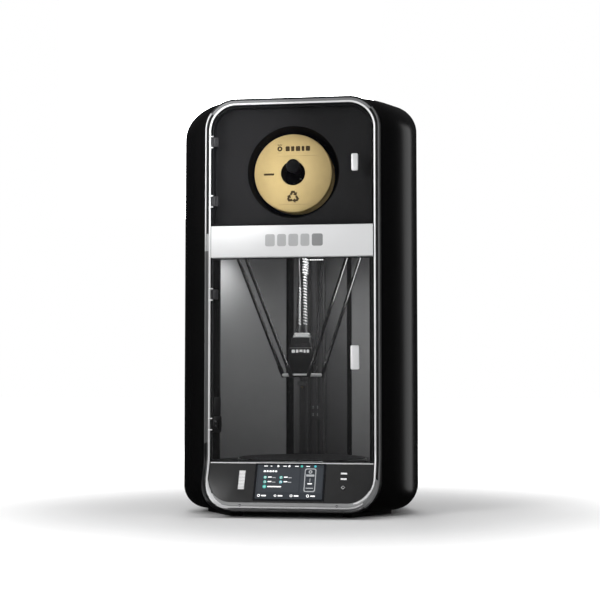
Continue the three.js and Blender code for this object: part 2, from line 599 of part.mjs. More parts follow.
const notches = Object.values(towers).map((degrees) => {
  const g = box(COL_R - 11, COL_R + COL_D + 2, -COL_HALF - 1, COL_HALF + 1, 100, 140);
  g.rotateZ(THREE.MathUtils.degToRad(degrees));
  g.translate(0, CY, 0);
  return g;
});
const innerHalf = (y) => table(innerRows, y, 1);
add('chamber_floor', cut(
  join(
    prismZ(outline((y) => innerHalf(y) - 2.2, FRONT + BZ_DEPTH + 0.4, 232, 18), FLOOR_Z[0], FLOOR_Z[1]),
    box(-OPEN_HALF + 1.5, OPEN_HALF - 1.5, FRONT + 7.5, FRONT + BZ_DEPTH + 2, FLOOR_Z[0], FLOOR_Z[1]),
  ),
  ...notches,
), 'matt_black');

add('power_supply', join(
  box(-108, 108, 0, 112, 15.6, 64),
  box(-104, 104, -8, 1, 18, 40),
), 'alloy');

// ---------------------------------------------------------------- feet
function foot(points, z1) {
  return prismZ(points, 0, z1);
}
const padOutline = (s) => {
  const a = V2(s * 138, FRONT + 12);
  const b = V2(s * 219, FRONT + 128);
  const d = b.clone().sub(a).normalize();
  const n = V2(-d.y, d.x);
  const pts = [];
  const push = (c, k, e) => pts.push(c.clone().addScaledVector(n, k).addScaledVector(d, e));
  push(a, 16, 0); push(a, 10, -7); push(a, -10, -7); push(a, -16, 0);
  push(b, -16, 0); push(b, -10, 7); push(b, 10, 7); push(b, 16, 0);
  return pts;
};
add('foot_left', foot(padOutline(-1), PAN_Z - 1.6), 'rubber');
add('foot_right', foot(padOutline(1), PAN_Z - 1.6), 'rubber');
add('foot_rear', foot(roundedRect(0, 186, 222, 8, 8, -92, 92).getPoints(2), PAN_Z - 0.4), 'rubber');

export default group;
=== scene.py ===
"""Enclosed delta printer: the looks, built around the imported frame. Lengths in the helpers are millimetres."""
import math
import random

import bmesh
import bpy
from mathutils import Matrix, Quaternion, Vector


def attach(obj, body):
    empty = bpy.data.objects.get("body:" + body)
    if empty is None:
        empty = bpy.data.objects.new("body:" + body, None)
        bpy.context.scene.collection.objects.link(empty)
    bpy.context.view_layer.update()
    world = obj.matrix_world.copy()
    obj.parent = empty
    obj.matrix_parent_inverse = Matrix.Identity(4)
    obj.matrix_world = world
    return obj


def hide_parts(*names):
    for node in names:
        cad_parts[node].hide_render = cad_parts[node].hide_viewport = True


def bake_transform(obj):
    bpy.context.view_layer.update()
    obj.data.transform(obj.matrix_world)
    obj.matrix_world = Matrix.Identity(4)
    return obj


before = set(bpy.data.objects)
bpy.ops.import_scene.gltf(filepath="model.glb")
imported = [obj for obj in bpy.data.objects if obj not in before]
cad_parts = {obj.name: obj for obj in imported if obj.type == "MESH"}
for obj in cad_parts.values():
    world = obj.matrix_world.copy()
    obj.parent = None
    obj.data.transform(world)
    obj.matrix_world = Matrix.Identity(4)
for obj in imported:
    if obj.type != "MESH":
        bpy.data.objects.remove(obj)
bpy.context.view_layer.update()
rng = random.Random(7)
MM = 0.001

# ---------------------------------------------------------------- sizes shared with the frame
FRONT = -223.0
REAR = 275.0
CY = FRONT + 180
SPOOL_X = -9.5
SPOOL_Z = 853.5
POCKET_Z = 848.0
SPOOL_FRONT = FRONT + 86
SLOPE_TOP = 132.6
LIP_TOP = 38.7
EFF_Z = 345.0
JOINT_Z = 727.0
JOINT_R = 200.0
EFF_R = 43.0
ROD_HALF = 28.0
COL_R = 231.8
TOWERS = {"left": 210, "right": 330, "rear": 90}
HINGE_X = -197.5
HINGE_Y = FRONT - 3

sc = bpy.context.scene
sc.view_settings.view_transform = "Standard"
sc.view_settings.look = "None"
sc.view_settings.exposure = 0
sc.view_settings.gamma = 1

# ---------------------------------------------------------------- camera, light, floor
cam = bpy.data.objects.new("camera", bpy.data.cameras.new("camera"))
sc.collection.objects.link(cam)
cam.location = (0.5273, -3.5647, 0.330)
cam.rotation_euler = (math.radians(93.343), 0, math.radians(8.61))
cam.data.sensor_width = 36
cam.data.lens = 1384 / 600 * 36
cam.data.clip_end = 60
sc.camera = cam


def area(name, loc, target, size, power, size_y=None, color=(1, 1, 1), glossy=True, seen=True):
    d = bpy.data.lights.new(name, "AREA")
    d.shape = "RECTANGLE"
    d.size = size
    d.size_y = size_y or size
    d.energy = power
    d.color = color
    o = bpy.data.objects.new(name, d)
    o.location = loc
    o.rotation_euler = (Vector(target) - Vector(loc)).to_track_quat("-Z", "Y").to_euler()
    o.visible_glossy = glossy
    o.visible_camera = seen
    sc.collection.objects.link(o)
    return o


world = bpy.data.worlds.new("studio")
sc.world = world
world.use_nodes = True
wt = world.node_tree
wt.nodes.clear()
w_out = wt.nodes.new("ShaderNodeOutputWorld")
w_bg = wt.nodes.new("ShaderNodeBackground")
w_bg.inputs["Color"].default_value = (1, 1, 1, 1)
w_bg.inputs["Strength"].default_value = 1.0
w_dim = wt.nodes.new("ShaderNodeBackground")
w_dim.inputs["Strength"].default_value = 1.0
w_grad = wt.nodes.new("ShaderNodeValToRGB")
w_tc = wt.nodes.new("ShaderNodeTexCoord")
w_sep = wt.nodes.new("ShaderNodeSeparateXYZ")
w_map = wt.nodes.new("ShaderNodeMapRange")
w_path = wt.nodes.new("ShaderNodeLightPath")
w_mix = wt.nodes.new("ShaderNodeMixShader")
wt.links.new(w_tc.outputs["Generated"], w_sep.inputs[0])
wt.links.new(w_sep.outputs["Z"], w_map.inputs["Value"])
w_map.inputs["From Min"].default_value = -1
w_map.inputs["From Max"].default_value = 1
wt.links.new(w_map.outputs[0], w_grad.inputs[0])
w_grad.color_ramp.elements[0].color = (0.012, 0.012, 0.012, 1)
w_grad.color_ramp.elements[0].position = 0.40
w_grad.color_ramp.elements[1].color = (0.12, 0.12, 0.123, 1)
w_grad.color_ramp.elements[1].position = 1.0
w_mid = w_grad.color_ramp.elements.new(0.55)
w_mid.color = (0.010, 0.010, 0.010, 1)
wt.links.new(w_grad.outputs[0], w_dim.inputs["Color"])
wt.links.new(w_path.outputs["Is Camera Ray"], w_mix.inputs[0])
wt.links.new(w_dim.outputs[0], w_mix.inputs[1])
wt.links.new(w_bg.outputs[0], w_mix.inputs[2])
wt.links.new(w_mix.outputs[0], w_out.inputs[0])

area("key", (-2.7, -3.3, 2.0), (0, -0.2, 0.55), 1.5, 88, 2.2)
area("fill", (1.6, -4.6, 1.2), (0.0, -0.1, 0.55), 1.6, 18, 1.6, glossy=False)
area("rim_right", (2.7, 1.05, 0.75), (0.1, 0.0, 0.6), 1.5, 16, 2.6)
area("top", (0.1, -0.2, 3.3), (0.0, 0.0, 0.0), 2.6, 44, 2.6, glossy=False)
area("floor_wash_left", (-2.4, 0.2, 2.6), (-1.5, 0.6, 0.0), 2.4, 20, glossy=False)
area("floor_wash_right", (2.4, 0.2, 2.6), (1.5, 0.6, 0.0), 2.4, 19, glossy=False)
area("back", (-0.9, 3.2, 1.9), (0, 0.4, 0.5), 1.6, 46, 1.6, glossy=False)


# ---------------------------------------------------------------- materials
def principled(name, color, rough=0.5, metal=0.0, spec=0.5, coat=0.0, coat_rough=0.05, alpha=1.0, vary=0.06,
               vary_scale=30.0, rough_vary=0.06, bump=0.0, bump_scale=900.0, emission=None, emission_strength=0.0, stretch=None,
               transmission=0.0, sheen=0.0):
    """A procedural finish: base colour drifts a little over the piece, roughness drifts with it, and fine bump gives the surface."""
    m = bpy.data.materials.new(name)
    m.use_nodes = True
    nt = m.node_tree
    b = nt.nodes["Principled BSDF"]
    tc = nt.nodes.new("ShaderNodeTexCoord")
    mp = nt.nodes.new("ShaderNodeMapping")
    nt.links.new(tc.outputs["Object"], mp.inputs[0])
    if stretch:
        mp.inputs["Scale"].default_value = stretch
    n = nt.nodes.new("ShaderNodeTexNoise")
    n.inputs["Scale"].default_value = vary_scale
    n.inputs["Detail"].default_value = 5
    nt.links.new(mp.outputs[0], n.inputs["Vector"])
    ramp = nt.nodes.new("ShaderNodeValToRGB")
    lo = [max(0.0, c * (1 - vary)) for c in color[:3]]
    hi = [min(1.0, c * (1 + vary)) for c in color[:3]]
    ramp.color_ramp.elements[0].position = 0.3
    ramp.color_ramp.elements[0].color = (*lo, 1)
    ramp.color_ramp.elements[1].position = 0.7
    ramp.color_ramp.elements[1].color = (*hi, 1)
    nt.links.new(n.outputs["Fac"], ramp.inputs[0])
    nt.links.new(ramp.outputs[0], b.inputs["Base Color"])
    rm = nt.nodes.new("ShaderNodeMapRange")
    rm.inputs["To Min"].default_value = max(0.02, rough - rough_vary)
    rm.inputs["To Max"].default_value = min(1.0, rough + rough_vary)
    nt.links.new(n.outputs["Fac"], rm.inputs["Value"])
    nt.links.new(rm.outputs[0], b.inputs["Roughness"])
    b.inputs["Metallic"].default_value = metal
    b.inputs["Specular IOR Level"].default_value = spec
    b.inputs["Coat Weight"].default_value = coat
    b.inputs["Coat Roughness"].default_value = coat_rough
    b.inputs["Alpha"].default_value = alpha
    b.inputs["Transmission Weight"].default_value = transmission
    if sheen:
        b.inputs["Sheen Weight"].default_value = sheen
    if emission:
        b.inputs["Emission Color"].default_value = (*emission, 1)
        b.inputs["Emission Strength"].default_value = emission_strength
    if bump:
        f = nt.nodes.new("ShaderNodeTexNoise")
        f.inputs["Scale"].default_value = bump_scale
        f.inputs["Detail"].default_value = 3
        nt.links.new(mp.outputs[0], f.inputs["Vector"])
        bp = nt.nodes.new("ShaderNodeBump")
        bp.inputs["Strength"].default_value = bump
        bp.inputs["Distance"].default_value = 0.0003
        nt.links.new(f.outputs["Fac"], bp.inputs["Height"])
        nt.links.new(bp.outputs[0], b.inputs["Normal"])
    return m


M = {
    "shell": principled("shell_plastic", (0.0022, 0.0022, 0.0024), 0.26, spec=0.42, vary=0.10, vary_scale=6, rough_vary=0.02),
    "dark": principled("dark_plastic", (0.012, 0.012, 0.013), 0.5, spec=0.3, bump=0.02, bump_scale=600),
    "bay": principled("bay_plastic", (0.020, 0.020, 0.021), 0.55, spec=0.3, bump=0.02, bump_scale=600),
    "fascia": principled("fascia_plastic", (0.028, 0.028, 0.0285), 0.36, spec=0.4, vary=0.05, rough_vary=0.03, bump=0.02, bump_scale=900),
    "liner": principled("liner_plastic", (0.26, 0.262, 0.265), 0.5, spec=0.3, vary=0.03),
    "strip": principled("strip_plastic", (0.15, 0.15, 0.152), 0.5, spec=0.3, vary=0.03),
    "liner_dark": principled("liner_dark", (0.105, 0.105, 0.107), 0.42, spec=0.35, vary=0.03),
    "silver": principled("bezel_metal", (0.40, 0.403, 0.407), 0.36, metal=0.80, vary=0.02, rough_vary=0.03),
    "bar": principled("bar_metal", (0.78, 0.785, 0.79), 0.40, metal=0.3, vary=0.012, rough_vary=0.03, stretch=(0.03, 1, 1)),
    # the bright metal is the pale finish of the hinge tabs and fascia trim, and a painted highlight on the rim; the
    # next three are painted shades of the rim metal
    "bright": principled("bezel_pale_and_painted_highlight", (0.84, 0.84, 0.845), 0.38, metal=0.30, vary=0.01),
    "lip": principled("bezel_painted_mid_shade", (0.33, 0.332, 0.335), 0.42, metal=0.2, vary=0.015),
    "band": principled("bezel_painted_shade", (0.19, 0.192, 0.195), 0.40, metal=0.2, vary=0.015),
    "dim": principled("bezel_painted_deep_shade", (0.085, 0.086, 0.087), 0.42, metal=0.2, vary=0.015),
    "edge": principled("bezel_edge", (0.006, 0.006, 0.0065), 0.4, spec=0.3),
    "groove": principled("groove_black", (0.008, 0.008, 0.0085), 0.5, spec=0.25),
    "mark": principled("mark_grey", (0.50, 0.505, 0.51), 0.45, metal=0.1, vary=0.02),
    "mark_soft": principled("mark_soft", (0.46, 0.465, 0.47), 0.45, metal=0.3, vary=0.02),
    "mark_dark": principled("mark_dark", (0.27, 0.273, 0.277), 0.45, metal=0.3, vary=0.02),
    "pull": principled("pull_metal", (0.86, 0.865, 0.87), 0.34, metal=0.35, vary=0.02, bump=0.04),
    "glass_up": principled("door_glass_upper", (0.004, 0.004, 0.005), 0.05, spec=0.5, alpha=0.16, vary=0.02, rough_vary=0.01),
    "glass_low": principled("door_glass_lower", (0.040, 0.040, 0.041), 0.05, spec=0.5, alpha=0.12, vary=0.02, rough_vary=0.01),
    "glass_edge": principled("glass_edge", (0.02, 0.025, 0.025), 0.15, vary=0.02),
    "hinge": principled("hinge_black", (0.030, 0.030, 0.032), 0.4, metal=0.2, spec=0.4),
    "hinge_edge": principled("hinge_steel", (0.6, 0.6, 0.61), 0.3, metal=1.0, vary=0.03),
    # white plastic glows faintly: on the status segments that glow is their light, on the usb tongues and head label
    # blocks it is painted light
    "white": principled("white_plastic", (0.80, 0.80, 0.80), 0.4, vary=0.02, emission=(1, 1, 1), emission_strength=0.15),
    "screen": principled("screen_glass", (0.010, 0.011, 0.013), 0.12, spec=0.5, coat=0.4, vary=0.03),
    "ui_panel": principled("ui_panel", (0.020, 0.023, 0.027), 0.4, vary=0.08, vary_scale=12, emission=(0.10, 0.12, 0.15), emission_strength=0.14),
    "ui_panel2": principled("ui_panel2", (0.028, 0.031, 0.036), 0.4, vary=0.08, vary_scale=14, emission=(0.12, 0.14, 0.17), emission_strength=0.16),
    "ui_white": principled("ui_white", (0.8, 0.8, 0.8), 0.5, vary=0.01, emission=(1, 1, 1), emission_strength=0.7),
    "ui_grey": principled("ui_grey", (0.3, 0.31, 0.32), 0.5, vary=0.01, emission=(0.6, 0.62, 0.64), emission_strength=0.35),
    "ui_teal": principled("ui_teal", (0.05, 0.35, 0.30), 0.5, vary=0.02, emission=(0.10, 0.75, 0.62), emission_strength=0.36),
    "ui_blue": principled("ui_blue", (0.05, 0.3, 0.36), 0.5, vary=0.02, emission=(0.12, 0.62, 0.70), emission_strength=0.5),
    "card": principled("spool_card", (0.80, 0.605, 0.275), 0.52, spec=0.35, vary=0.04, vary_scale=60, bump=0.10, bump_scale=1200),
    "card_edge": principled("spool_card_edge", (0.66, 0.48, 0.20), 0.85, spec=0.15, vary=0.15, vary_scale=200, bump=0.4, bump_scale=1800),
    # the inside of the spool's core is near-black: painted shade in the bore
    "bore": principled("spool_bore", (0.03, 0.022, 0.012), 0.9, spec=0.1, vary=0.1),
    "print_brown": principled("print_brown", (0.06, 0.035, 0.012), 0.7, vary=0.1),
    "print_faint": principled("print_faint", (0.48, 0.36, 0.17), 0.7, vary=0.1),
    "filament": principled("filament_dark", (0.02, 0.02, 0.022), 0.35, spec=0.5, vary=0.1, vary_scale=300),
    # near-black that barely reflects: painted shade, on the left and right columns and in the spool pocket
    "void": principled("painted_shade_matte_black", (0.003, 0.003, 0.003), 0.8, spec=0.03, vary=0.1),
    "column": principled("column_black", (0.062, 0.062, 0.063), 0.42, metal=0.0, spec=0.35, vary=0.03, bump=0.04, stretch=(1, 1, 0.02)),
    "steel": principled("rail_steel", (0.085, 0.085, 0.087), 0.35, metal=0.4, vary=0.04, stretch=(1, 1, 0.02)),
    "alloy_black": principled("alloy_black", (0.014, 0.014, 0.015), 0.42, metal=0.2, spec=0.35),
    "alloy": principled("alloy", (0.62, 0.625, 0.63), 0.32, metal=1.0, vary=0.04, bump=0.06),
    "rod": principled("rod_black", (0.014, 0.014, 0.015), 0.22, spec=0.9, vary=0.15, vary_scale=120, rough_vary=0.04),
    "rod_end": principled("rod_end", (0.014, 0.014, 0.015), 0.42, spec=0.4),
    "belt": principled("belt_rubber", (0.045, 0.045, 0.045), 0.8, spec=0.2, bump=0.3, bump_scale=700),
    "motor": principled("motor_black", (0.02, 0.02, 0.02), 0.42, spec=0.4, bump=0.06),
    "brass": principled("hot_brass", (0.30, 0.25, 0.18), 0.35, metal=1.0, vary=0.06),
    "sock": principled("silicone_sock", (0.07, 0.07, 0.072), 0.7),
    "hose": principled("hose_plastic", (0.72, 0.725, 0.73), 0.45, vary=0.05, bump=0.05),
    "hose_dark": principled("cable_dark", (0.03, 0.03, 0.032), 0.5),
    "ptfe": principled("tube_clear", (0.16, 0.162, 0.165), 0.3, vary=0.03),
    "bed": principled("bed_alloy", (0.45, 0.455, 0.46), 0.38, metal=1.0, vary=0.05, bump=0.05),
    "sheet": principled("sheet_dark", (0.024, 0.024, 0.025), 0.55, spec=0.35, vary=0.2, vary_scale=300, bump=0.05, bump_scale=900),
    "floor_pan": principled("floor_steel", (0.040, 0.040, 0.041), 0.5, spec=0.4, vary=0.06, bump=0.08),
    "rubber": principled("foot_rubber", (0.006, 0.006, 0.006), 0.85, spec=0.2, bump=0.25, bump_scale=900),
    "led": principled("led_white", (0.9, 0.9, 0.9), 0.4, vary=0.01, emission=(1, 1, 1), emission_strength=1.2),
    "label": principled("plain_plate", (0.30, 0.30, 0.305), 0.45, metal=0.6),
}


# ---------------------------------------------------------------- mesh helpers (millimetres in, metres out)
def make(name, verts, faces, mats, body, sharp=32, face_mats=None, replaces=(), slot=None, smooth=True):
    me = bpy.data.meshes.new(name)
    me.from_pydata([tuple(c * MM for c in v) for v in verts], [], faces)
    bm = bmesh.new()
    bm.from_mesh(me)
    bmesh.ops.remove_doubles(bm, verts=bm.verts, dist=2e-6)
    bmesh.ops.dissolve_degenerate(bm, dist=1e-6, edges=bm.edges)
    bmesh.ops.recalc_face_normals(bm, faces=bm.faces)
    if face_mats is None:
        bm.to_mesh(me)
    else:
        bm.free()
        bm = bmesh.new()
        bm.from_mesh(me)
        for f, k in zip(bm.faces, face_mats):
            f.material_index = k
        bmesh.ops.remove_doubles(bm, verts=bm.verts, dist=2e-6)
        bmesh.ops.dissolve_degenerate(bm, dist=1e-6, edges=bm.edges)
        bmesh.ops.recalc_face_normals(bm, faces=bm.faces)
        bm.to_mesh(me)
    bm.free()
    return finish_obj(name, me, mats, body, sharp, replaces, slot, smooth)


def finish_obj(name, me, mats, body, sharp=32, replaces=(), slot=None, smooth=True):
    for m in mats if isinstance(mats, (list, tuple)) else [mats]:
        me.materials.append(M[m])
    if smooth:
        me.polygons.foreach_set("use_smooth", [True] * len(me.polygons))
        me.set_sharp_from_angle(angle=math.radians(sharp))
    me.update()
    o = bpy.data.objects.new(name, me)
    sc.collection.objects.link(o)
    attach(o, body)
    for r in replaces:
        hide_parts(r)
    return o


def bevel_mesh(o, width, segments=2, angle=35):
    """Rounds the sharp edges of a finished piece, in the mesh itself."""
    md = o.modifiers.new("bevel", "BEVEL")
    md.width = width * MM
    md.segments = segments
    md.limit_method = "ANGLE"
    md.angle_limit = math.radians(angle)
    md.harden_normals = False
    apply_mods(o)
    o.data.polygons.foreach_set("use_smooth", [True] * len(o.data.polygons))
    o.data.set_sharp_from_angle(angle=math.radians(40))
    return o


def apply_mods(o):
    dg = bpy.context.evaluated_depsgraph_get()
    me = bpy.data.meshes.new_from_object(o.evaluated_get(dg))
    old = o.data
    o.modifiers.clear()
    o.data = me
    bpy.data.meshes.remove(old)
    return o


def boolean(o, cutters, op="DIFFERENCE"):
    for c in cutters:
        md = o.modifiers.new("cut", "BOOLEAN")
        md.operation = op
        md.solver = "EXACT"
        md.object = c
    apply_mods(o)
    for c in cutters:
        me = c.data
        bpy.data.objects.remove(c)
        bpy.data.meshes.remove(me)
    return o


def raw(verts, faces):
    """A loose body for boolean cuts."""
    me = bpy.data.meshes.new("cutter")
    me.from_pydata([tuple(c * MM for c in v) for v in verts], [], faces)
    bm = bmesh.new()
    bm.from_mesh(me)
    bmesh.ops.recalc_face_normals(bm, faces=bm.faces)
    bm.to_mesh(me)
    bm.free()
    o = bpy.data.objects.new("cutter", me)
    sc.collection.objects.link(o)
    return o


def arc(cx, cy, r, a0, a1, n):
    return [(cx + r * math.cos(a0 + (a1 - a0) * i / n), cy + r * math.sin(a0 + (a1 - a0) * i / n)) for i in range(n + 1)]


def rrect(x0, x1, z0, z1, rt, rb, n=10):
    """Rounded rectangle outline, anticlockwise from the lower left of the bottom edge."""
    P = math.pi
    pts = []
    pts += arc(x1 - rb, z0 + rb, rb, -P / 2, 0, n) if rb else [(x1, z0)]
    pts += arc(x1 - rt, z1 - rt, rt, 0, P / 2, n) if rt else [(x1, z1)]
    pts += arc(x0 + rt, z1 - rt, rt, P / 2, P, n) if rt else [(x0, z1)]
    pts += arc(x0 + rb, z0 + rb, rb, P, 1.5 * P, n) if rb else [(x0, z0)]
    return pts


def circle(cx, cy, r, n=48):
    return [(cx + r * math.cos(2 * math.pi * i / n), cy + r * math.sin(2 * math.pi * i / n)) for i in range(n)]


def loft(rings, caps=True, closed=False):
    """Faces through rings of equal length; closed joins the last ring to the first."""
    n = len(rings[0])
    verts = [p for r in rings for p in r]
    faces = []
    m = len(rings)
    for i in range(m if closed else m - 1):
        j = (i + 1) % m
        for k in range(n):
            a, b = i * n + k, i * n + (k + 1) % n
            c, d = j * n + (k + 1) % n, j * n + k
            faces.append((a, b, c, d))
    if caps and not closed:
        faces.append(tuple(range(n - 1, -1, -1)))
        faces.append(tuple((m - 1) * n + k for k in range(n)))
    return verts, faces


def stack(outline, levels, place, shrink=None):
    """Extrudes an outline through levels [(height, inset)], with place(x, y, h) giving the 3-D point. The inset moves
    points square to the outline, so edges come out rounded."""
    n = len(outline)
    cx = sum(p[0] for p in outline) / n
    cy = sum(p[1] for p in outline) / n
    area2 = sum(outline[i][0] * outline[(i + 1) % n][1] - outline[(i + 1) % n][0] * outline[i][1] for i in range(n))
    sgn = 1 if area2 > 0 else -1
    rings = []
    for h, e in levels:
        ring = []
        for i in range(n):
            p, a, b = outline[i], outline[i - 1], outline[(i + 1) % n]
            d1 = Vector((p[0] - a[0], p[1] - a[1]))
            d2 = Vector((b[0] - p[0], b[1] - p[1]))
            d1 = d1.normalized() if d1.length > 1e-6 else d2.normalized()
            d2 = d2.normalized() if d2.length > 1e-6 else d1
            n1 = Vector((-d1.y, d1.x)) * sgn
            n2 = Vector((-d2.y, d2.x)) * sgn
            nn = n1 + n2
            if nn.length < 1e-6:
                nn = n1
            nn.normalize()
            k = 1 / max(0.5, nn.dot(n1))
            ring.append(place(p[0] + nn.x * e * k, p[1] + nn.y * e * k, h))
        rings.append(ring)
    return loft(rings)


def rounded_levels(h0, h1, r, n=3, both=True):
    """Levels for a slab from h0 to h1 whose rim is rounded by r at h1, and at h0 too."""
    lv = []
    if both:
        for i in range(n + 1):
            a = math.pi / 2 * i / n
            lv.append((h0 + r * (1 - math.sin(a)), r * (1 - math.cos(a))) if False else (h0 + r - r * math.cos(a), r - r * math.sin(a)))
    else:
        lv.append((h0, 0))
    for i in range(n + 1):
        a = math.pi / 2 * i / n
        lv.append((h1 - r + r * math.sin(a), r - r * math.cos(a)))
    return lv


XZ = lambda x, z, h: (x, h, z)          # slab thickness along Y
XY = lambda x, y, h: (x, y, h)          # slab thickness along Z
YZ = lambda y, z, h: (h, y, z)          # slab thickness along X


def slab(name, outline, h0, h1, r, place, mats, body, **kw):
    v, f = stack(outline, rounded_levels(h0, h1, r), place)
    return make(name, v, f, mats, body, **kw)


def box(name, x0, x1, y0, y1, z0, z1, r, mats, body, **kw):
    """A block with every edge rounded."""
    me = bpy.data.meshes.new(name)
    bm = bmesh.new()
    bmesh.ops.create_cube(bm, size=1)
    for v in bm.verts:
        v.co = Vector(((x0 + x1) / 2 + v.co.x * (x1 - x0), (y0 + y1) / 2 + v.co.y * (y1 - y0), (z0 + z1) / 2 + v.co.z * (z1 - z0))) * MM
    if r:
        bmesh.ops.bevel(bm, geom=bm.edges[:], offset=r * MM, segments=3, profile=0.5, affect="EDGES")
    bm.to_mesh(me)
    bm.free()
    return finish_obj(name, me, mats, body, **kw)


def box_raw(x0, x1, y0, y1, z0, z1):
    v = [(x, y, z) for x in (x0, x1) for y in (y0, y1) for z in (z0, z1)]
    return raw(v, [(0, 1, 3, 2), (4, 6, 7, 5), (0, 4, 5, 1), (2, 3, 7, 6), (0, 2, 6, 4), (1, 5, 7, 3)])


def lathe(profile, centre, axis, seg=64, closed=True):
    """Revolves (radius, height) points about an axis through centre."""
    a = Vector(axis).normalized()
    u = a.orthogonal().normalized()
    w = a.cross(u)
    c = Vector(centre)
    rings = []
    for i in range(seg):
        t = 2 * math.pi * i / seg
        d = u * math.cos(t) + w * math.sin(t)
        rings.append([tuple(c + d * r + a * h) for r, h in profile])
    n = len(profile)
    verts = [p for r in rings for p in r]
    faces = []
    for i in range(seg):
        j = (i + 1) % seg
        for k in range(n if closed else n - 1):
            k2 = (k + 1) % n
            faces.append((i * n + k, i * n + k2, j * n + k2, j * n + k))
    return verts, faces


def tube(points, r, sides=16, radius_at=None, caps=True):
    """A round bar along points, with turning-free frames."""
    P = [Vector(p) for p in points]
    T = []
    for i in range(len(P)):
        d = P[min(i + 1, len(P) - 1)] - P[max(i - 1, 0)]
        T.append(d.normalized())
    u = T[0].orthogonal().normalized()
    rings = []
    for i, p in enumerate(P):
        if i:
            q = T[i - 1].rotation_difference(T[i])
            u = q @ u
        w = T[i].cross(u)
        rr = radius_at(i) if radius_at else r
        rings.append([tuple(p + (u * math.cos(2 * math.pi * k / sides) + w * math.sin(2 * math.pi * k / sides)) * rr) for k in range(sides)])
    return loft(rings, caps=caps)


def merge(*parts):
    verts, faces = [], []
    for v, f in parts:
        k = len(verts)
        verts += list(v)
        faces += [tuple(i + k for i in x) for x in f]
    return verts, faces


def smooth_path(points, n):
    """Catmull-Rom through points, n samples."""
    P = [Vector(p) for p in points]
    P = [2 * P[0] - P[1]] + P + [2 * P[-1] - P[-2]]
    out = []
    m = len(P) - 3
    for i in range(n):
        t = i / (n - 1) * m
        k = min(int(t), m - 1)
        t -= k
        a, b, c, d = P[k:k + 4]
        out.append(0.5 * ((2 * b) + (c - a) * t + (2 * a - 5 * b + 4 * c - d) * t * t + (3 * b - a - 3 * c + d) * t ** 3))
    return out


# ---------------------------------------------------------------- floor
me = bpy.data.meshes.new("studio_floor")
me.from_pydata([(-14, -9, 0), (14, -9, 0), (14, 22, 0), (-14, 22, 0)], [], [(0, 1, 2, 3)])
floor = bpy.data.objects.new("studio_floor", me)
M["stage"] = principled("studio_floor", (0.86, 0.86, 0.86), 0.8, spec=0.1, vary=0.0)
# the floor's glow fades in with distance from the machine: the floor reads white far off, and the fade paints the grey
# falloff of shade around the machine, on top of the lamps' own shadows
st = M["stage"].node_tree
s_tc = st.nodes.new("ShaderNodeTexCoord")
s_len = st.nodes.new("ShaderNodeVectorMath")
s_len.operation = "LENGTH"
s_map = st.nodes.new("ShaderNodeMapRange")
s_map.inputs["From Min"].default_value = 0.42
s_map.inputs["From Max"].default_value = 1.55
s_map.inputs["To Min"].default_value = 0.0
s_map.inputs["To Max"].default_value = 1.0
s_map.interpolation_type = "SMOOTHSTEP"
st.links.new(s_tc.outputs["Object"], s_len.inputs[0])
st.links.new(s_len.outputs["Value"], s_map.inputs["Value"])
st.nodes["Principled BSDF"].inputs["Emission Color"].default_value = (1, 1, 1, 1)
st.links.new(s_map.outputs[0], st.nodes["Principled BSDF"].inputs["Emission Strength"])
me.materials.append(M["stage"])
sc.collection.objects.link(floor)
floor.visible_glossy = False

# ---------------------------------------------------------------- housing shells
STATIONS = [
    (22, 219, 78, 78, 1028, 12), (33, 236, 72, 74, 1028, 12), (45, 252, 75, 69, 1028, 12), (65, 270.5, 80, 61, 1028, 12),
    (88, 285, 83, 56, 1028, 12), (113, 293.5, 80, 55, 1028, 12), (140, 297.5, 70, 60, 1028, 12), (172, 296.4, 65, 64, 1028, 12),
    (207, 291, 62, 66, 1028, 12), (250, 281, 56, 64, 1028, 12), (295, 268, 50, 62, 1028, 12), (340, 247, 46, 61, 1028, 12),
    (385, 222, 42, 60, 1028, 12), (425, 192, 39, 57, 1028, 12), (460, 160, 36, 54, 1028, 12), (478, 137, 33, 49, 1026.6, 13.4),
    (490, 118, 30, 44, 1023, 17), (496, 105, 28, 39, 1018.5, 21.5), (498, 98, 26, 36, 1015, 25),
]


def station(y):
    """Smoothly interpolated section sizes at Y."""
    d = y - FRONT
    S = STATIONS
    if d <= S[0][0]:
        return S[0][1:]
    if d >= S[-1][0]:
        return S[-1][1:]
    k = max(i for i in range(len(S) - 1) if S[i][0] <= d)
    a, b = S[k], S[k + 1]
    p, q = S[max(0, k - 1)], S[min(len(S) - 1, k + 2)]
    t = (d - a[0]) / (b[0] - a[0])
    out = []
    for c in range(1, 6):
        ma = (b[c] - p[c]) / (b[0] - p[0]) if k else (b[c] - a[c]) / (b[0] - a[0])
        mb = (q[c] - a[c]) / (q[0] - a[0]) if k + 2 < len(S) else (b[c] - a[c]) / (b[0] - a[0])
        h = b[0] - a[0]
        # limited slopes keep the outline from overshooting
        s = (b[c] - a[c]) / h
        ma = max(min(ma, 3 * s), 0) if s > 0 else min(max(ma, 3 * s), 0)
        mb = max(min(mb, 3 * s), 0) if s > 0 else min(max(mb, 3 * s), 0)
        out.append((2 * t ** 3 - 3 * t * t + 1) * a[c] + (t ** 3 - 2 * t * t + t) * h * ma + (-2 * t ** 3 + 3 * t * t) * b[c] + (t ** 3 - t * t) * h * mb)
    return out


REAR_HALF = 82.0
REAR_FROM = 238.0


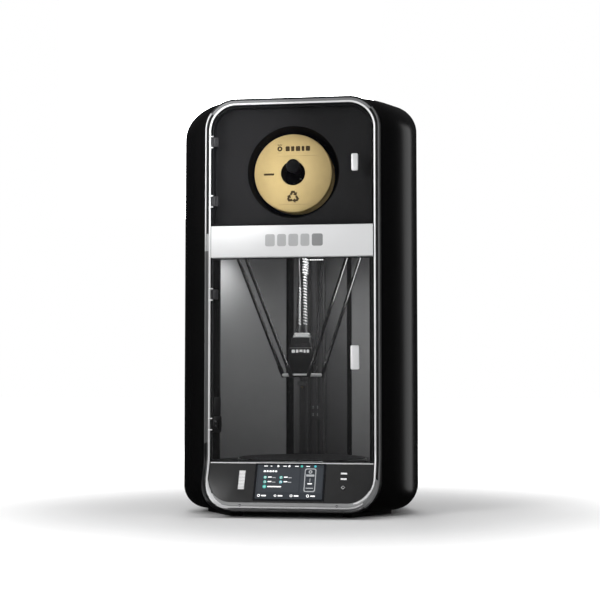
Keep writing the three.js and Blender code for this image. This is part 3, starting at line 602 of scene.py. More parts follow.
def side_grid(side):
    ys = [FRONT + 22]
    y = ys[0]
    while y < REAR_FROM - 1:
        y += 5.0
        ys.append(min(y, REAR_FROM - 0.01))
    ys += [REAR_FROM + 0.4, 243, 248, 253, 257, 260, 263, 265.5, 267.5, 269, 270.5, 272, 273, 274, 274.6, 275]
    rows = []
    for y in ys:
        half, rt, rb, zt, zb = station(y)
        top_in = max(half - rt - 7.6, REAR_HALF + 0.4) if y < REAR_FROM else REAR_HALF + 0.4
        bot_in = max(half - rb - 3.6, REAR_HALF + 0.4) if y < REAR_FROM else REAR_HALF + 0.4
        if y < REAR_FROM:
            top_in, bot_in = half - rt - 7.6, half - rb - 3.6
        top_in = min(top_in, half - rt)
        bot_in = min(bot_in, half - rb)
        pts = []
        for i in range(5):
            pts.append((bot_in + (half - rb - bot_in) * i / 4, zb))
        pts += arc(half - rb, zb + rb, rb, -math.pi / 2, 0, 14)[1:]
        z0, z1 = zb + rb, zt - rt
        for i in range(1, 24):
            pts.append((half, z0 + (z1 - z0) * i / 24))
        pts += arc(half - rt, zt - rt, rt, 0, math.pi / 2, 16)
        for i in range(1, 5):
            pts.append((half - rt + (top_in - half + rt) * i / 4, zt))
        rows.append([(max(x, REAR_HALF + 0.4) if y > REAR_FROM else x, y, z) for x, z in pts])
    # close the back down to the seam beside the rear cover
    half, rt, rb, zt, zb = station(REAR)
    rows.append([(REAR_HALF + 0.4, REAR, z) for (x, y, z) in rows[-1]])
    return [[(side * x, yy, z) for x, yy, z in r] for r in rows]


def thick_grid(rows, t, inward):
    """Closed body from an open grid of points; inward(point, normal) is the side the wall thickens to."""
    m, n = len(rows), len(rows[0])
    P = [[Vector(p) for p in r] for r in rows]
    N = [[None] * n for _ in range(m)]
    for i in range(m):
        for k in range(n):
            du = P[min(i + 1, m - 1)][k] - P[max(i - 1, 0)][k]
            dv = P[i][min(k + 1, n - 1)] - P[i][max(k - 1, 0)]
            c = du.cross(dv)
            N[i][k] = c.normalized() if c.length > 1e-9 else None
    for i in range(m):
        for k in range(n):
            if N[i][k] is None:
                N[i][k] = N[i - 1][k] or N[i][k - 1]
            if not inward(P[i][k], N[i][k]):
                N[i][k] = -N[i][k]
    verts = [tuple(p) for r in P for p in r] + [tuple(P[i][k] + N[i][k] * t) for i in range(m) for k in range(n)]
    off = m * n
    faces, kinds = [], []
    for i in range(m - 1):
        for k in range(n - 1):
            a, b, c, d = i * n + k, i * n + k + 1, (i + 1) * n + k + 1, (i + 1) * n + k
            faces.append((a, b, c, d)); kinds.append(0)
            faces.append((off + d, off + c, off + b, off + a)); kinds.append(1)
    for i in range(m - 1):
        for k in (0, n - 1):
            a, b = i * n + k, (i + 1) * n + k
            faces.append((a, b, off + b, off + a)); kinds.append(0)
    for k in range(n - 1):
        for i in (0, m - 1):
            a, b = i * n + k, i * n + k + 1
            faces.append((a, off + a, off + b, b)); kinds.append(0)
    return verts, faces, kinds


centre = Vector((0, 20, 520))
for side, name in ((-1, "shell_left"), (1, "shell_right")):
    rows = side_grid(side)
    v, f, kinds = thick_grid(rows, 2.8, lambda p, nrm: nrm.dot(centre - p) > 0)
    make(name, v, f, ["shell", "liner"], "housing", sharp=50, face_mats=kinds, replaces=(name,), slot="shell_plastic")


def outline_of(width_at, y0, y1, steps):
    r = []
    for i in range(steps + 1):
        y = y0 + (y1 - y0) * i / steps
        r.append((width_at(y), y))
    return r + [(-x, y) for x, y in reversed(r)]


def flat_top(y):
    s = station(y)
    return s[0] - s[1] - 8


def flat_bottom(y):
    s = station(y)
    return s[0] - s[2] - 4


slab("top_cover", outline_of(flat_top, FRONT + 22, REAR_FROM - 0.4, 40), 1025.1, 1028, 0.7, XY, "shell", "housing",
     replaces=("top_cover",), slot="shell_plastic")
slab("base_pan", outline_of(flat_bottom, FRONT + 22, REAR_FROM - 0.4, 40), 12, 15, 0.5, XY, "floor_pan", "housing",
     replaces=("base_pan",), slot="base_steel")

# rear cover: bent strip with rounded shoulders, louvres, a fan grille and the inlet opening
sec = [(REAR_FROM, 12), (243, 12), (250, 12)]
for y in (255, 259, 262, 264.5, 266.5, 268.5, 270, 271.5, 272.7, 273.6, 274.3, 274.8, 275):
    sec.append((y, station(y)[4]))
low = sec
high = [(y, station(y)[3]) for y, z in reversed(sec)]
path = low + [(275.0, low[-1][1] + (high[0][1] - low[-1][1]) * i / 12) for i in range(1, 12)] + high
rows = [[(x, y, z) for x in (-REAR_HALF, -60, -30, 0, 30, 60, REAR_HALF)] for y, z in path]
v, f, kinds = thick_grid(rows, 2.8, lambda p, nrm: nrm.dot(centre - p) > 0)
rear = make("rear_cover", v, f, ["dark", "dark"], "housing", sharp=50, face_mats=kinds, replaces=("rear_cover",), slot="dark_plastic")
cutters = []
for i in range(9):
    cutters.append(box_raw(-46, 46, 266, 280, 700 + i * 16, 706 + i * 16))
cutters.append(box_raw(-26, 26, 266, 280, 52, 88))
for i in range(6):
    cutters.append(box_raw(-46, 46, 266, 280, 150 + i * 14, 155 + i * 14))
boolean(rear, cutters)
rear.data.polygons.foreach_set("use_smooth", [True] * len(rear.data.polygons))
rear.data.set_sharp_from_angle(angle=math.radians(40))
v, f = merge(*[stack(rrect(x0, x0 + 20, 64, 984, 1, 1, 2), rounded_levels(269.4, 271.2, 0.3, 1), XZ) for x0 in (-92, 72)])
make("rear_seals", v, f, "rubber", "housing", slot="foot_rubber")
parts = []
for x in (-74, 74):
    for z in (60, 250, 450, 650, 860, 985):
        parts.append(lathe([(0, 0), (3.2, 0), (3.2, -0.5), (2.6, -1.4), (0, -1.6)], (x, 274.9 - 1.2, z), (0, -1, 0), 20))
# heads sit flush in the cover so nothing stands behind its plane
v, f = merge(*parts)
make("rear_screws", v, f, "steel", "housing", slot="rail_steel")

# ---------------------------------------------------------------- inside walls of the chamber
v, f = merge(
    stack(rrect(-67, 81, 124, 1000, 3, 3, 4), rounded_levels(250.5, 255, 0.8, 2), XZ),
)
make("wiring_cover", v, f, "liner_dark", "housing", slot="dark_plastic")
slab("wiring_groove", rrect(-83, -66, 124, 1000, 2, 2, 3), 253.6, 255, 0.4, XZ, "edge", "housing", slot="dark_plastic")
slab("wiring_strip", rrect(-68, -52, 130, 996, 2, 2, 4), 248.6, 250.9, 0.9, XZ, "strip", "housing", slot="dark_plastic")

# ---------------------------------------------------------------- bezel
OPEN_PATH_N = 18


def bezel_path(half, z0, z1, rt, rb):
    """The loop a bezel edge follows, with enough points on the straights for the chin to bend cleanly."""
    P = math.pi
    pts = []
    zs = [z0 + rb + (z1 - rt - z0 - rb) * i / 40 for i in range(1, 40)]
    pts += [(-half + rb + (2 * half - 2 * rb) * i / 8, z0) for i in range(8)]
    pts += arc(half - rb, z0 + rb, rb, -P / 2, 0, OPEN_PATH_N)
    pts += [(half, z) for z in zs]
    pts += arc(half - rt, z1 - rt, rt, 0, P / 2, OPEN_PATH_N)
    pts += [(half - rt - (2 * half - 2 * rt) * i / 8, z1) for i in range(1, 8)]
    pts += arc(-half + rt, z1 - rt, rt, P / 2, P, OPEN_PATH_N)
    pts += [(-half, z) for z in reversed(zs)]
    pts += arc(-half + rb, z0 + rb, rb, P, 1.5 * P, OPEN_PATH_N)[:-1]
    return pts


def front_at(z):
    """How far the bezel's face stands in front of the door plane at height z."""
    if z >= SLOPE_TOP + 1.5:
        return 0.0
    if z >= 41:
        return (SLOPE_TOP + 1.5 - z) / (SLOPE_TOP + 1.5 - 41) * 52.0
    if z >= 24.5:
        return 52.0
    if z >= 18:
        return 52.0 - 4.0 * (24.5 - z) / 6.5
    if z >= 12.6:
        return 48.0 - 9.0 * (18 - z) / 5.4
    return 39.0 - 11.0 * min(1.0, (12.6 - z) / 1.6)


outer_path = bezel_path(219, 11, 1030, 78, 78)
inner_path = bezel_path(201, 38.7, 1012, 62, 60)
# profile across the rim: share of the way from the outer to the inner edge, and depth behind the local face
PROFILE = [
    (0.0, None), (0.0, 5.0), (0.03, 2.6), (0.10, 0.9), (0.19, 0.15), (0.27, 0.0), (0.30, 0.0), (0.315, 0.9), (0.33, 1.2), (0.37, 1.2), (0.41, 1.2), (0.45, 1.2), (0.49, 1.2), (0.52, 1.2),
    (0.55, 1.2), (0.58, 1.2), (0.61, 1.2), (0.645, 1.2), (0.66, 0.9), (0.675, 0.0), (0.71, 0.0), (0.735, 0.07), (0.76, 0.15), (0.79, 0.36), (0.82, 0.62), (0.86, 1.06), (0.90, 1.5), (0.94, 2.02), (0.985, 2.6), (1.0, 3.4), (1.0, None),
]
rings = []
for e, d in PROFILE:
    ring = []
    for (xo, zo), (xi, zi) in zip(outer_path, inner_path):
        x, z = xo + (xi - xo) * e, zo + (zi - zo) * e
        if d is None:
            ring.append((x, FRONT + 21.6, z))
        else:
            ring.append((x, FRONT - front_at(z) + d, z))
    rings.append(ring)
v, f = loft(rings, closed=True)
n_path = len(outer_path)
# Rim colours: the bright copy is a painted highlight, and the mid, plain and deep shade copies are painted shade, all
# standing for the one rim metal under light.
SILVER, GROOVE, EDGE, PAINTED_HIGHLIGHT, PAINTED_MID_SHADE, PAINTED_SHADE, PAINTED_DEEP_SHADE = range(7)


def along(t, table):
    """Straight-line reading of a small table."""
    for (t0, v0), (t1, v1) in zip(table, table[1:]):
        if t <= t1:
            return v0 + (v1 - v0) * max(0.0, t - t0) / (t1 - t0)
    return table[-1][1]


def bezel_painted_light_kind(e, x, z):
    """Which painted highlight or painted shade of the rim metal each facet gets. The bright copy is a painted
    highlight, and the mid, plain and deep shade copies are painted shade. Edge and groove black also paint shade where
    they cover the flat band on the top, the sides and the lower left. e runs from the outer edge (0) to the inner edge
    (1), x and z say where along it.
    """
    if e < 0.09 or e > 0.99:
        return EDGE
    if z < 89 and abs(x) > 141:                  # lower corners
        a = math.degrees(math.atan2(89 - z, abs(x) - 141))
        # on the lower left corner a painted highlight band crosses from the inner bevel to the outer band
        if x < 0:                                # the bright band crosses to the outside
            lo = along(a, ((0, 0.645), (10, 0.61), (22, 0.53), (40, 0.45), (60, 0.37), (72, 0.37), (82, 0.44), (90, 0.52)))
            hi = along(a, ((0, 0.90), (25, 0.95), (40, 0.90), (55, 0.80), (70, 0.69), (90, 0.645)))
            if lo <= e <= hi:
                return PAINTED_HIGHLIGHT
            if e > hi:
                return PAINTED_MID_SHADE if a > 35 else EDGE
            return SILVER if a > 74 and e > 0.31 else EDGE
        if e > 0.90 and a < 30:
            return EDGE
        if a < 78 and 0.675 + a * 0.0022 <= e <= 0.92:
            return PAINTED_HIGHLIGHT
        if a < 60:
            return PAINTED_MID_SHADE if e > 0.645 else SILVER
    if z < 60:                                   # chin
        if e > 0.645:
            return PAINTED_MID_SHADE
        if e > 0.52:
            return PAINTED_HIGHLIGHT
        return SILVER if e > 0.31 else PAINTED_DEEP_SHADE if e > 0.20 else EDGE
    if x < -202 and z < 1000:
        if e > 0.88:
            return EDGE
        if e > 0.65:
            return PAINTED_HIGHLIGHT
        if z > 700:
            return SILVER if e < 0.31 else GROOVE
        if z > 650:
            return PAINTED_MID_SHADE
        if z < 180:
            return EDGE if e < 0.50 else PAINTED_DEEP_SHADE
        return PAINTED_DEEP_SHADE if e < 0.62 else PAINTED_MID_SHADE
    if x > 202 and z < 1000:
        if e > 0.88:
            return EDGE
        if e > 0.65:
            return PAINTED_HIGHLIGHT
        return SILVER if e < 0.31 else GROOVE
    if e < 0.30 or e > 0.88:                     # top
        return EDGE
    return PAINTED_HIGHLIGHT if e > 0.65 else PAINTED_SHADE


mids = [(PROFILE[i][0] + PROFILE[i + 1][0]) / 2 for i in range(len(PROFILE) - 1)] + [1.0]
# each rim facet gets a painted highlight, a painted shade or the plain metal, by where it lies
face_mats = [bezel_painted_light_kind(e, *outer_path[k]) for e in mids for k in range(n_path)]
make("front_bezel", v, f, ["silver", "groove", "edge", "bright", "lip", "band", "dim"], "housing", sharp=28, face_mats=face_mats, replaces=("front_bezel",), slot="bezel_metal")

# hinge tabs on the bezel, two for each hinge
HINGES = {"hinge_upper_top": (922, 17, 24, "upper_door"), "hinge_upper_bottom": (774, 17, 24, "upper_door"),
          "hinge_lower_top": (543, 17, 24, "lower_door"), "hinge_lower_bottom": (224, 19, 24, "lower_door")}
parts = []
for name, (z, w, h, body) in HINGES.items():
    for z0 in (z + 12.4, z - 15.4):
        parts.append(stack(rrect(-206.6, HINGE_X + 1.3, FRONT - 5.4, FRONT - 0.3, 1.4, 1.4, 4), rounded_levels(z0, z0 + 3, 0.5, 2), XY))
v, f = merge(*parts)
make("hinge_tabs", v, f, "bright", "housing", slot="bezel_metal")

# two small screws in the lip under the fascia
parts = []
for x in (-117.5, 117.5):
    parts.append(lathe([(0, 0.2), (3.1, 0.2), (3.1, -0.1), (2.7, -0.5), (1.4, -0.5), (1.2, 0.1), (0, 0.1)], (x, -274.4, 31.5), (0, 1, 0), 24))
v, f = merge(*parts)
make("lip_screws", v, f, "hinge", "housing", slot="hinge_black")

# ---------------------------------------------------------------- crossbar
def bar_section(x):
    e = 0.0
    pts = []
    for z, y in ((634.0, 20), (634.0, -1.6), (634.3, -2.4), (635.0, -2.9), (636.0, -3.0), (673, -3.0), (710.0, -3.0), (711.0, -2.9), (711.7, -2.4), (712.0, -1.6), (712.0, 20), (708, 20), (708, 2), (638, 2), (638, 20)):
        pts.append((x, FRONT + y, z))
    return pts


v, f = loft([bar_section(x) for x in [-200.7 + 401.4 * i / 12 for i in range(13)]])
make("crossbar", v, f, "bar", "housing", sharp=50, replaces=("crossbar",), slot="bezel_metal")
parts, last = [], []
for x0, x1 in ((-65, -41), (-35, -13), (-7, 17), (23, 45)):
    parts.append(stack(rrect(x0, x1, 660, 690, 5, 5, 5), [(FRONT - 3.12, 0), (FRONT - 2.6, 0)], XZ))
last.append(stack(rrect(51, 78, 660, 690, 5, 5, 5), [(FRONT - 3.12, 0), (FRONT - 2.6, 0)], XZ))
v, f = merge(*parts)
make("crossbar_blocks", v, f, "mark_soft", "housing", slot="bezel_metal")
v, f = merge(*last)
make("crossbar_block_dark", v, f, "mark_dark", "housing", slot="bezel_metal")

# ---------------------------------------------------------------- sloping fascia and its controls
FX = 1.4
s_top = Vector((0, FRONT + FX, SLOPE_TOP))
s_end = Vector((0, -275 + FX + 0.3, LIP_TOP + 0.4))
s_up = (s_top - s_end).normalized()
s_out = Vector((0, -s_up.z, s_up.y))


def ON(x, s, h):
    """Fascia frame: x across, s up the slope (negative downwards), h out of the face."""
    return tuple(s_top + Vector((x, 0, 0)) + s_up * s + s_out * h)


slope_len = (s_top - s_end).length
# outline on the slope: straight sides, rounded foot
foot_r = 59.7
zf = lambda z: -(SLOPE_TOP - z) / s_up.z
out_pts = []
for x, z in rrect(-200.7, 200.7, LIP_TOP + 0.3, SLOPE_TOP, 0, foot_r, 20):
    out_pts.append((x, zf(z)))
v, f = stack(out_pts, rounded_levels(-4.0, 0, 0.6, 2), ON)
fascia = make("fascia_panel", v, f, "fascia", "housing", sharp=40, replaces=("fascia_panel",), slot="dark_plastic")


def on_cut(x0, x1, s0, s1, h0=-12, h1=6):
    pts = [ON(x, -s, h) for x in (x0, x1) for s in (s0, s1) for h in (h0, h1)]
    return raw(pts, [(0, 1, 3, 2), (4, 6, 7, 5), (0, 4, 5, 1), (2, 3, 7, 6), (0, 2, 6, 4), (1, 5, 7, 3)])


SCREEN = (-87, 86, 4, 102.5)
LAMP = (-126.2, -110.6, 23.6, 74)
PORTS = ((130.4, 29.3), (130.4, 43.8))
BUTTON = (130.2, 66.4)
cuts = [on_cut(SCREEN[0] - 0.4, SCREEN[1] + 0.4, SCREEN[2] - 0.4, SCREEN[3] + 0.4), on_cut(LAMP[0] - 0.4, LAMP[1] + 0.4, LAMP[2] - 0.4, LAMP[3] + 0.4)]
for px, ps in PORTS:
    cuts.append(on_cut(px - 7.9, px + 7.9, ps - 4.1, ps + 4.1))
v, f = stack(circle(BUTTON[0], -BUTTON[1], 5.9, 32), [(-12, 0), (6, 0)], ON)
cuts.append(raw(v, f))
boolean(fascia, cuts)
fascia.data.polygons.foreach_set("use_smooth", [True] * len(fascia.data.polygons))
fascia.data.set_sharp_from_angle(angle=math.radians(35))

# bright strip along the top of the fascia
v, f = stack(rrect(-200.4, 200.4, -4.4, -1.4, 0.6, 0.6, 2), rounded_levels(-0.4, 0.3, 0.2, 1), ON)
make("fascia_trim", v, f, "bright", "housing", slot="bezel_metal")
# dark tray behind the openings of the fascia
v, f = stack(rrect(-140, 145, -108, -2.5, 2, 2, 2), rounded_levels(-11.2, -9.6, 0.4, 1), ON)
make("fascia_tray", v, f, "edge", "housing", slot="dark_plastic")


def on_plate(name, x0, x1, s0, s1, h0, h1, r, rim, mat, body="housing", n=6, **kw):
    v, f = stack(rrect(x0, x1, -s1, -s0, r, r, n), rounded_levels(h0, h1, rim, 2), ON)
    return make(name, v, f, mat, body, **kw)


on_plate("touchscreen", *SCREEN, -6.4, 0.9, 1.0, 0.3, "screen", n=2, smooth=False, replaces=("touchscreen",), slot="screen")

# status light: a column of small lit bars on a darker body
v, f = stack(rrect(LAMP[0], LAMP[1], -LAMP[3], -LAMP[2], 1.0, 1.0, 3), rounded_levels(-6.8, 0.1, 0.2, 1), ON)
make("status_light", v, f, "label", "housing", replaces=("status_light",), slot="white_plastic")
parts = []
n_seg = 13
pitch = (LAMP[3] - LAMP[2] - 1.0) / n_seg
for i in range(n_seg):
    a = LAMP[2] + 0.5 + i * pitch
    parts.append(stack(rrect(LAMP[0] + 0.4, LAMP[1] - 0.4, -(a + pitch - 0.85), -a, 0.5, 0.5, 2), rounded_levels(0.05, 0.5, 0.15, 1), ON))
v, f = merge(*parts)
make("status_segments", v, f, "white", "housing", slot="white_plastic")

# usb ports: dark surrounds with pale tongues
parts = []
for px, ps in PORTS:
    parts.append(stack(rrect(px - 7.5, px + 7.5, -ps - 3.7, -ps + 3.7, 0.9, 0.9, 3), rounded_levels(-6, 0.15, 0.25, 1), ON))
parts.append(stack(rrect(119, 142, -52, -22, 1, 1, 2), rounded_levels(-9, -6.0, 0.3, 1), ON))
v, f = merge(*parts)
make("usb_ports", v, f, "dark", "housing", replaces=("usb_ports",), slot="white_plastic")
parts = []
for px, ps in PORTS:
    parts.append(stack(rrect(px - 7.3, px + 7.3, -ps - 2.35, -ps + 2.35, 0.6, 0.6, 2), rounded_levels(0.1, 0.4, 0.1, 1), ON))
v, f = merge(*parts)
# the pale tongues glow faintly: painted light
make("usb_tongues", v, f, "white", "housing", slot="white_plastic")

# push button: dark cap with a pale diamond ring
v, f = merge(stack(circle(BUTTON[0], -BUTTON[1], 5.5, 40), rounded_levels(-5.4, 1.3, 0.5, 3), ON),
             stack(circle(BUTTON[0], -BUTTON[1], 8.0, 32), rounded_levels(-7.4, -5.4, 0.3, 1), ON))
make("power_button", v, f, "fascia", "button", replaces=("power_button",), slot="white_plastic")


def ring_poly(cx, cy, r0, r1, corners, turn, h0, h1, round_steps=1):
    """A flat ring with the given number of corners, as a closed body."""
    rings = []
    for h, r in ((h0, r0), (h0, r1), (h1, r1), (h1, r0)):
        rings.append([ON(cx + r * math.cos(turn + 2 * math.pi * k / corners), cy + r * math.sin(turn + 2 * math.pi * k / corners), h) for k in range(corners)])
    return loft(rings, closed=True)


v, f = ring_poly(BUTTON[0], -BUTTON[1], 3.2, 5.2, 4, 0, 1.25, 1.6)
make("button_mark", v, f, "mark", "button", slot="white_plastic")

# ---------------------------------------------------------------- what the touchscreen shows: generic pictograms only
ui = {"ui_panel": [], "ui_panel2": [], "ui_white": [], "ui_grey": [], "ui_teal": [], "ui_blue": []}
H0 = 0.88


def ui_rect(kind, x0, x1, s0, s1, r=0.6, lift=0.0):
    ui[kind].append(stack(rrect(x0, x1, -s1, -s0, r, r, 3), [(H0 + lift, 0), (H0 + 0.07 + lift, 0)], ON))


def ui_disc(kind, x, s, r, lift=0.0, n=24):
    ui[kind].append(stack(circle(x, -s, r, n), [(H0 + lift, 0), (H0 + 0.07 + lift, 0)], ON))


def ui_ring(kind, x, s, r0, r1, corners=24, turn=0.0, lift=0.0):
    ui[kind].append(ring_poly(x, -s, r0, r1, corners, turn, H0 + lift, H0 + 0.07 + lift))


X0, X1 = -82, 81
ui_rect("ui_panel", X0, X1, 8, 98, 2.0)
ui_rect("ui_panel2", X0 + 4, 22, 17, 80, 2.5, 0.05)
ui_rect("ui_panel2", 26, X1 - 3, 15, 82, 2.5, 0.05)
# status row
for x, w in ((-66, 9), (-50, 4), (-19, 9), (10, 9), (38, 9)):
    ui_rect("ui_white", x, x + w, 10.6, 12.6, 0.5, 0.1)
for x in (-31, -4):
    ui_disc("ui_white", x, 11.6, 2.6, 0.1)
ui_disc("ui_teal", 27, 11.6, 3.0, 0.1)
ui_disc("ui_blue", 60, 11.6, 3.0, 0.1)
# heading bar
for x0, x1 in ((-66, -60.5), (-58.5, -54), (-52, -46.5), (-44.5, -40), (-38, -33)):
    ui_rect("ui_white", x0, x1, 23.0, 27.6, 0.9, 0.12)
# readouts: pictogram and value bar
rows = ((-61, 41.5, "ui_teal"), (-22, 41.5, "ui_teal"), (-61, 53.5, "ui_teal"), (-22, 53.5, "ui_blue"))
for x, s, kind in rows:
    ui_ring(kind, x, s, 2.2, 3.9, lift=0.1)
    ui_ring("ui_white", x, s, 1.6, 2.3, 16, 0, 0.18)
    ui_rect("ui_white", x + 7, x + 16, s - 2.2, s + 0.6, 0.6, 0.12)
    ui_rect("ui_grey", x + 17.5, x + 26, s - 0.4, s + 1.6, 0.5, 0.12)
ui_disc("ui_teal", -61, 66, 4.6, 0.1)
ui_ring("ui_white", -61, 66, 1.8, 2.6, 3, 0.5, 0.18)
ui_rect("ui_white", -54, -20, 64.2, 67.4, 0.8, 0.12)
# menu row
for i, x in enumerate((-73, -33, 6, 46)):
    ui_ring("ui_white", x, 89.5, 2.0, 3.7, (24, 4, 6, 24)[i], (0, 0, 0.3, 0)[i], 0.12)
    ui_rect("ui_white", x + 6.5, x + 18, 88, 91.4, 0.7, 0.12)
# little picture of the machine
ui_rect("ui_grey", 35, 63, 17, 79, 5.0, 0.1)
ui_rect("ui_panel", 37.2, 60.8, 19.5, 76.5, 4.0, 0.18)
ui_rect("ui_grey", 39, 59, 33, 38.5, 0.8, 0.26)
ui_ring("ui_grey", 49, 26.3, 2.0, 4.6, 20, 0, 0.26)
ui_rect("ui_panel2", 39.5, 58.5, 45.5, 66.0, 0.8, 0.22)
ui_rect("ui_grey", 48.2, 49.8, 43, 54, 0.3, 0.26)
ui_rect("ui_white", 43.5, 54.5, 56, 59, 0.8, 0.30)
ui_rect("ui_grey", 40, 58, 68, 70.5, 0.5, 0.26)
for kind, bits in ui.items():
    v, f = merge(*bits)
    make("screen_" + kind, v, f, kind, "housing", smooth=False, slot="screen")

# ---------------------------------------------------------------- doors
GF = FRONT + 0.5


def door(name, z0, z1, rt, mat, body):
    o = slab(name, rrect(-199.7, 199.7, z0, z1, rt, 1.5, 16), GF, GF + 4, 0.5, XZ, [mat, "glass_edge"], body, replaces=(name,), slot="door_glass", sharp=50)
    return o


door("upper_door_glass", 713, 1010.7, 60.7, "glass_up", "upper_door")
door("lower_door_glass", 134, 633, 1.5, "glass_low", "lower_door")


def frame_print(name, x0, x1, z0, z1, rt, w, body):
    """Black border printed on the back of the glass."""
    o = rrect(x0, x1, z0, z1, rt, 1.5, 16)
    i = rrect(x0 + w, x1 - w, z0 + w, z1 - w, max(rt - w, 1.0), 1.0, 16)
    rings = []
    for y, loop in ((GF + 4.05, o), (GF + 4.05, i), (GF + 4.25, i), (GF + 4.25, o)):
        rings.append([(x, y, z) for x, z in loop])
    v, f = loft(rings, closed=True)
    make(name, v, f, "dark", body, slot="dark_plastic", smooth=False)


frame_print("upper_door_border", -199.2, 199.2, 713.5, 1010.2, 60.2, 3.0, "upper_door")
frame_print("lower_door_border", -199.2, 199.2, 134.5, 632.5, 1.5, 3.0, "lower_door")


def pull(name, x0, x1, z0, z1, body):
    lv = [(FRONT - 8, 1.4), (FRONT - 7.6, 0.6), (FRONT - 6.9, 0.15), (FRONT - 6.0, 0.0), (FRONT - 1.0, 0.0), (FRONT + 0.2, 0.4)]
    v, f = stack(rrect(x0, x1, z0, z1, 3.6, 3.6, 6), lv, XZ)
    return make(name, v, f, "pull", body, replaces=(name,), slot="pull_metal")


pull("upper_door_pull", 149, 165, 843, 885, "upper_door")
pull("lower_door_pull", 146, 167, 357.5, 416, "lower_door")

for name, (z, w, h, body) in HINGES.items():
    parts = [lathe([(0, -12), (1.7, -12), (2.3, -11.5), (2.3, 11.5), (1.7, 12), (0, 12)], (HINGE_X, HINGE_Y, z), (0, 0, 1), 24),
             stack(rrect(HINGE_X + 3.2, -200 + w, z - h / 2, z + h / 2, 2.0, 2.0, 5), rounded_levels(HINGE_Y - 1.0, GF - 0.25, 0.5, 2), XZ),
             stack(rrect(HINGE_X, HINGE_X + 5, z - h / 2 + 1, z + h / 2 - 1, 0.5, 0.5, 2), rounded_levels(HINGE_Y - 0.8, HINGE_Y + 0.8, 0.3, 1), XZ)]
    if name == "hinge_lower_bottom":
        parts.append(stack(rrect(-194, -173.5, z - 20, z + 20, 3.0, 3.0, 5), rounded_levels(GF - 1.2, GF - 0.2, 0.4, 2), XZ))
    v, f = merge(*parts)
    make(name, v, f, "hinge" if name != "hinge_lower_bottom" else "groove", body, replaces=(name,), slot="hinge_black")
    parts = []
    for dz in (-6.2, 6.2):
        parts.append(lathe([(0, 0.4), (2.7, 0.4), (2.7, 0), (2.2, -0.5), (1.3, -0.6), (1.1, -0.1), (0, -0.1)], (-200 + w - 6.2, HINGE_Y - 0.9, z + dz), (0, 1, 0), 20))
    v, f = merge(*parts)
    make(name + "_screws", v, f, "hinge" if "upper" in name or "top" in name else "hinge_edge", body, slot="hinge_black")

v, f = stack(rrect(-192.5, -175.5, 246, 290, 2.5, 2.5, 5), rounded_levels(GF - 3.2, GF - 0.2, 0.6, 2), XZ)
make("lower_hinge_cap", v, f, "groove", "lower_door", slot="hinge_black")

# ---------------------------------------------------------------- spool bay and spool
BACK = FRONT + 32.5
POCKET_R = 113.0
outline = rrect(-199, 199, 714, 1010, 60, 2, 12)
inline_ = rrect(-196.5, 196.5, 716.5, 1007.5, 57.5, 1, 12)


def resample(loop, n, cx=0.0, cz=POCKET_Z):
    """Points of a loop at equal angles about the spool axis."""
    out = []
    m = len(loop)
    for k in range(n):
        a = 2 * math.pi * k / n
        d = (math.cos(a), math.sin(a))
        best = None
        for i in range(m):
            p, q = loop[i], loop[(i + 1) % m]
            ex, ez = q[0] - p[0], q[1] - p[1]
            den = d[0] * ez - d[1] * ex
            if abs(den) < 1e-9:
                continue
            t = ((p[0] - cx) * ez - (p[1] - cz) * ex) / den
            u = ((p[0] - cx) * d[1] - (p[1] - cz) * d[0]) / den
            if t > 0 and -1e-6 <= u <= 1 + 1e-6 and (best is None or t > best):
                best = t
        out.append((cx + d[0] * best, cz + d[1] * best))
    return out


NB = 160
ro, ri = resample(outline, NB), resample(inline_, NB)
pk = [(POCKET_R * math.cos(2 * math.pi * k / NB), POCKET_Z + POCKET_R * math.sin(2 * math.pi * k / NB)) for k in range(NB)]


def scaled(k):
    return [(x * k, POCKET_Z + (z - POCKET_Z) * k) for x, z in pk]


def at(loop, y):
    return [(x, y, z) for x, z in loop]


rings = [
    at(ro, FRONT + 6.5), at(ri, FRONT + 6.5), at(ri, BACK - 4.0), at([(x * 0.995, POCKET_Z + (z - POCKET_Z) * 0.995) for x, z in ri], BACK - 2.9),
    at([(x * 0.985, POCKET_Z + (z - POCKET_Z) * 0.985) for x, z in ri], BACK - 2.5),
    at(scaled(1.035), BACK - 2.5), at(scaled(1.018), BACK - 2.2), at(scaled(1.006), BACK - 1.3), at(scaled(1.0), BACK + 0.5),
    at(scaled(1.0), FRONT + 145), at(scaled(0.99), FRONT + 149.5), at(scaled(0.965), FRONT + 151.5),
    at(scaled(0.5), FRONT + 151.5), at(scaled(0.02), FRONT + 151.5),
    at(scaled(0.02), FRONT + 154), at(scaled(1.022), FRONT + 154), at(scaled(1.022), BACK), at(ro, BACK),
]
v, f = loft(rings, closed=True)
# the pocket wall and its rim take the near-black, barely reflecting material: painted shade in the recess round the
# spool
make("spool_bay", v, f, ["bay", "void"], "housing", sharp=35, face_mats=[1 if 6 <= i <= 12 else 0 for i in range(len(rings)) for k in range(NB)], replaces=("spool_bay",), slot="bay_plastic")

parts = [
    lathe([(0, 0), (14.5, 0), (16.8, 0.6), (17.5, 1.8), (17.5, 3.4), (16.6, 4.5), (12.0, 4.5), (12.0, 66), (12.0, 70.4), (0, 70.4)], (SPOOL_X, FRONT + 80.6, SPOOL_Z + 18.1), (0, 1, 0), 64, closed=True),
]
v, f = merge(*parts)
make("spool_arm", v, f, "edge", "housing", replaces=("spool_arm",), slot="dark_plastic")

# cardboard spool: two flanges with rolled rims on a tube
prof = [(30.5, 0.4), (31.0, 0), (97.8, 0), (98.7, 0.5), (99, 1.4), (99, 2.2), (98.5, 3.0), (44, 3.0), (44, 62), (98.5, 62), (99, 62.8), (99, 64.2), (98.4, 65), (31, 65), (30.5, 64.6)]
v, f = lathe(prof, (SPOOL_X, SPOOL_FRONT, SPOOL_Z), (0, 1, 0), 128)
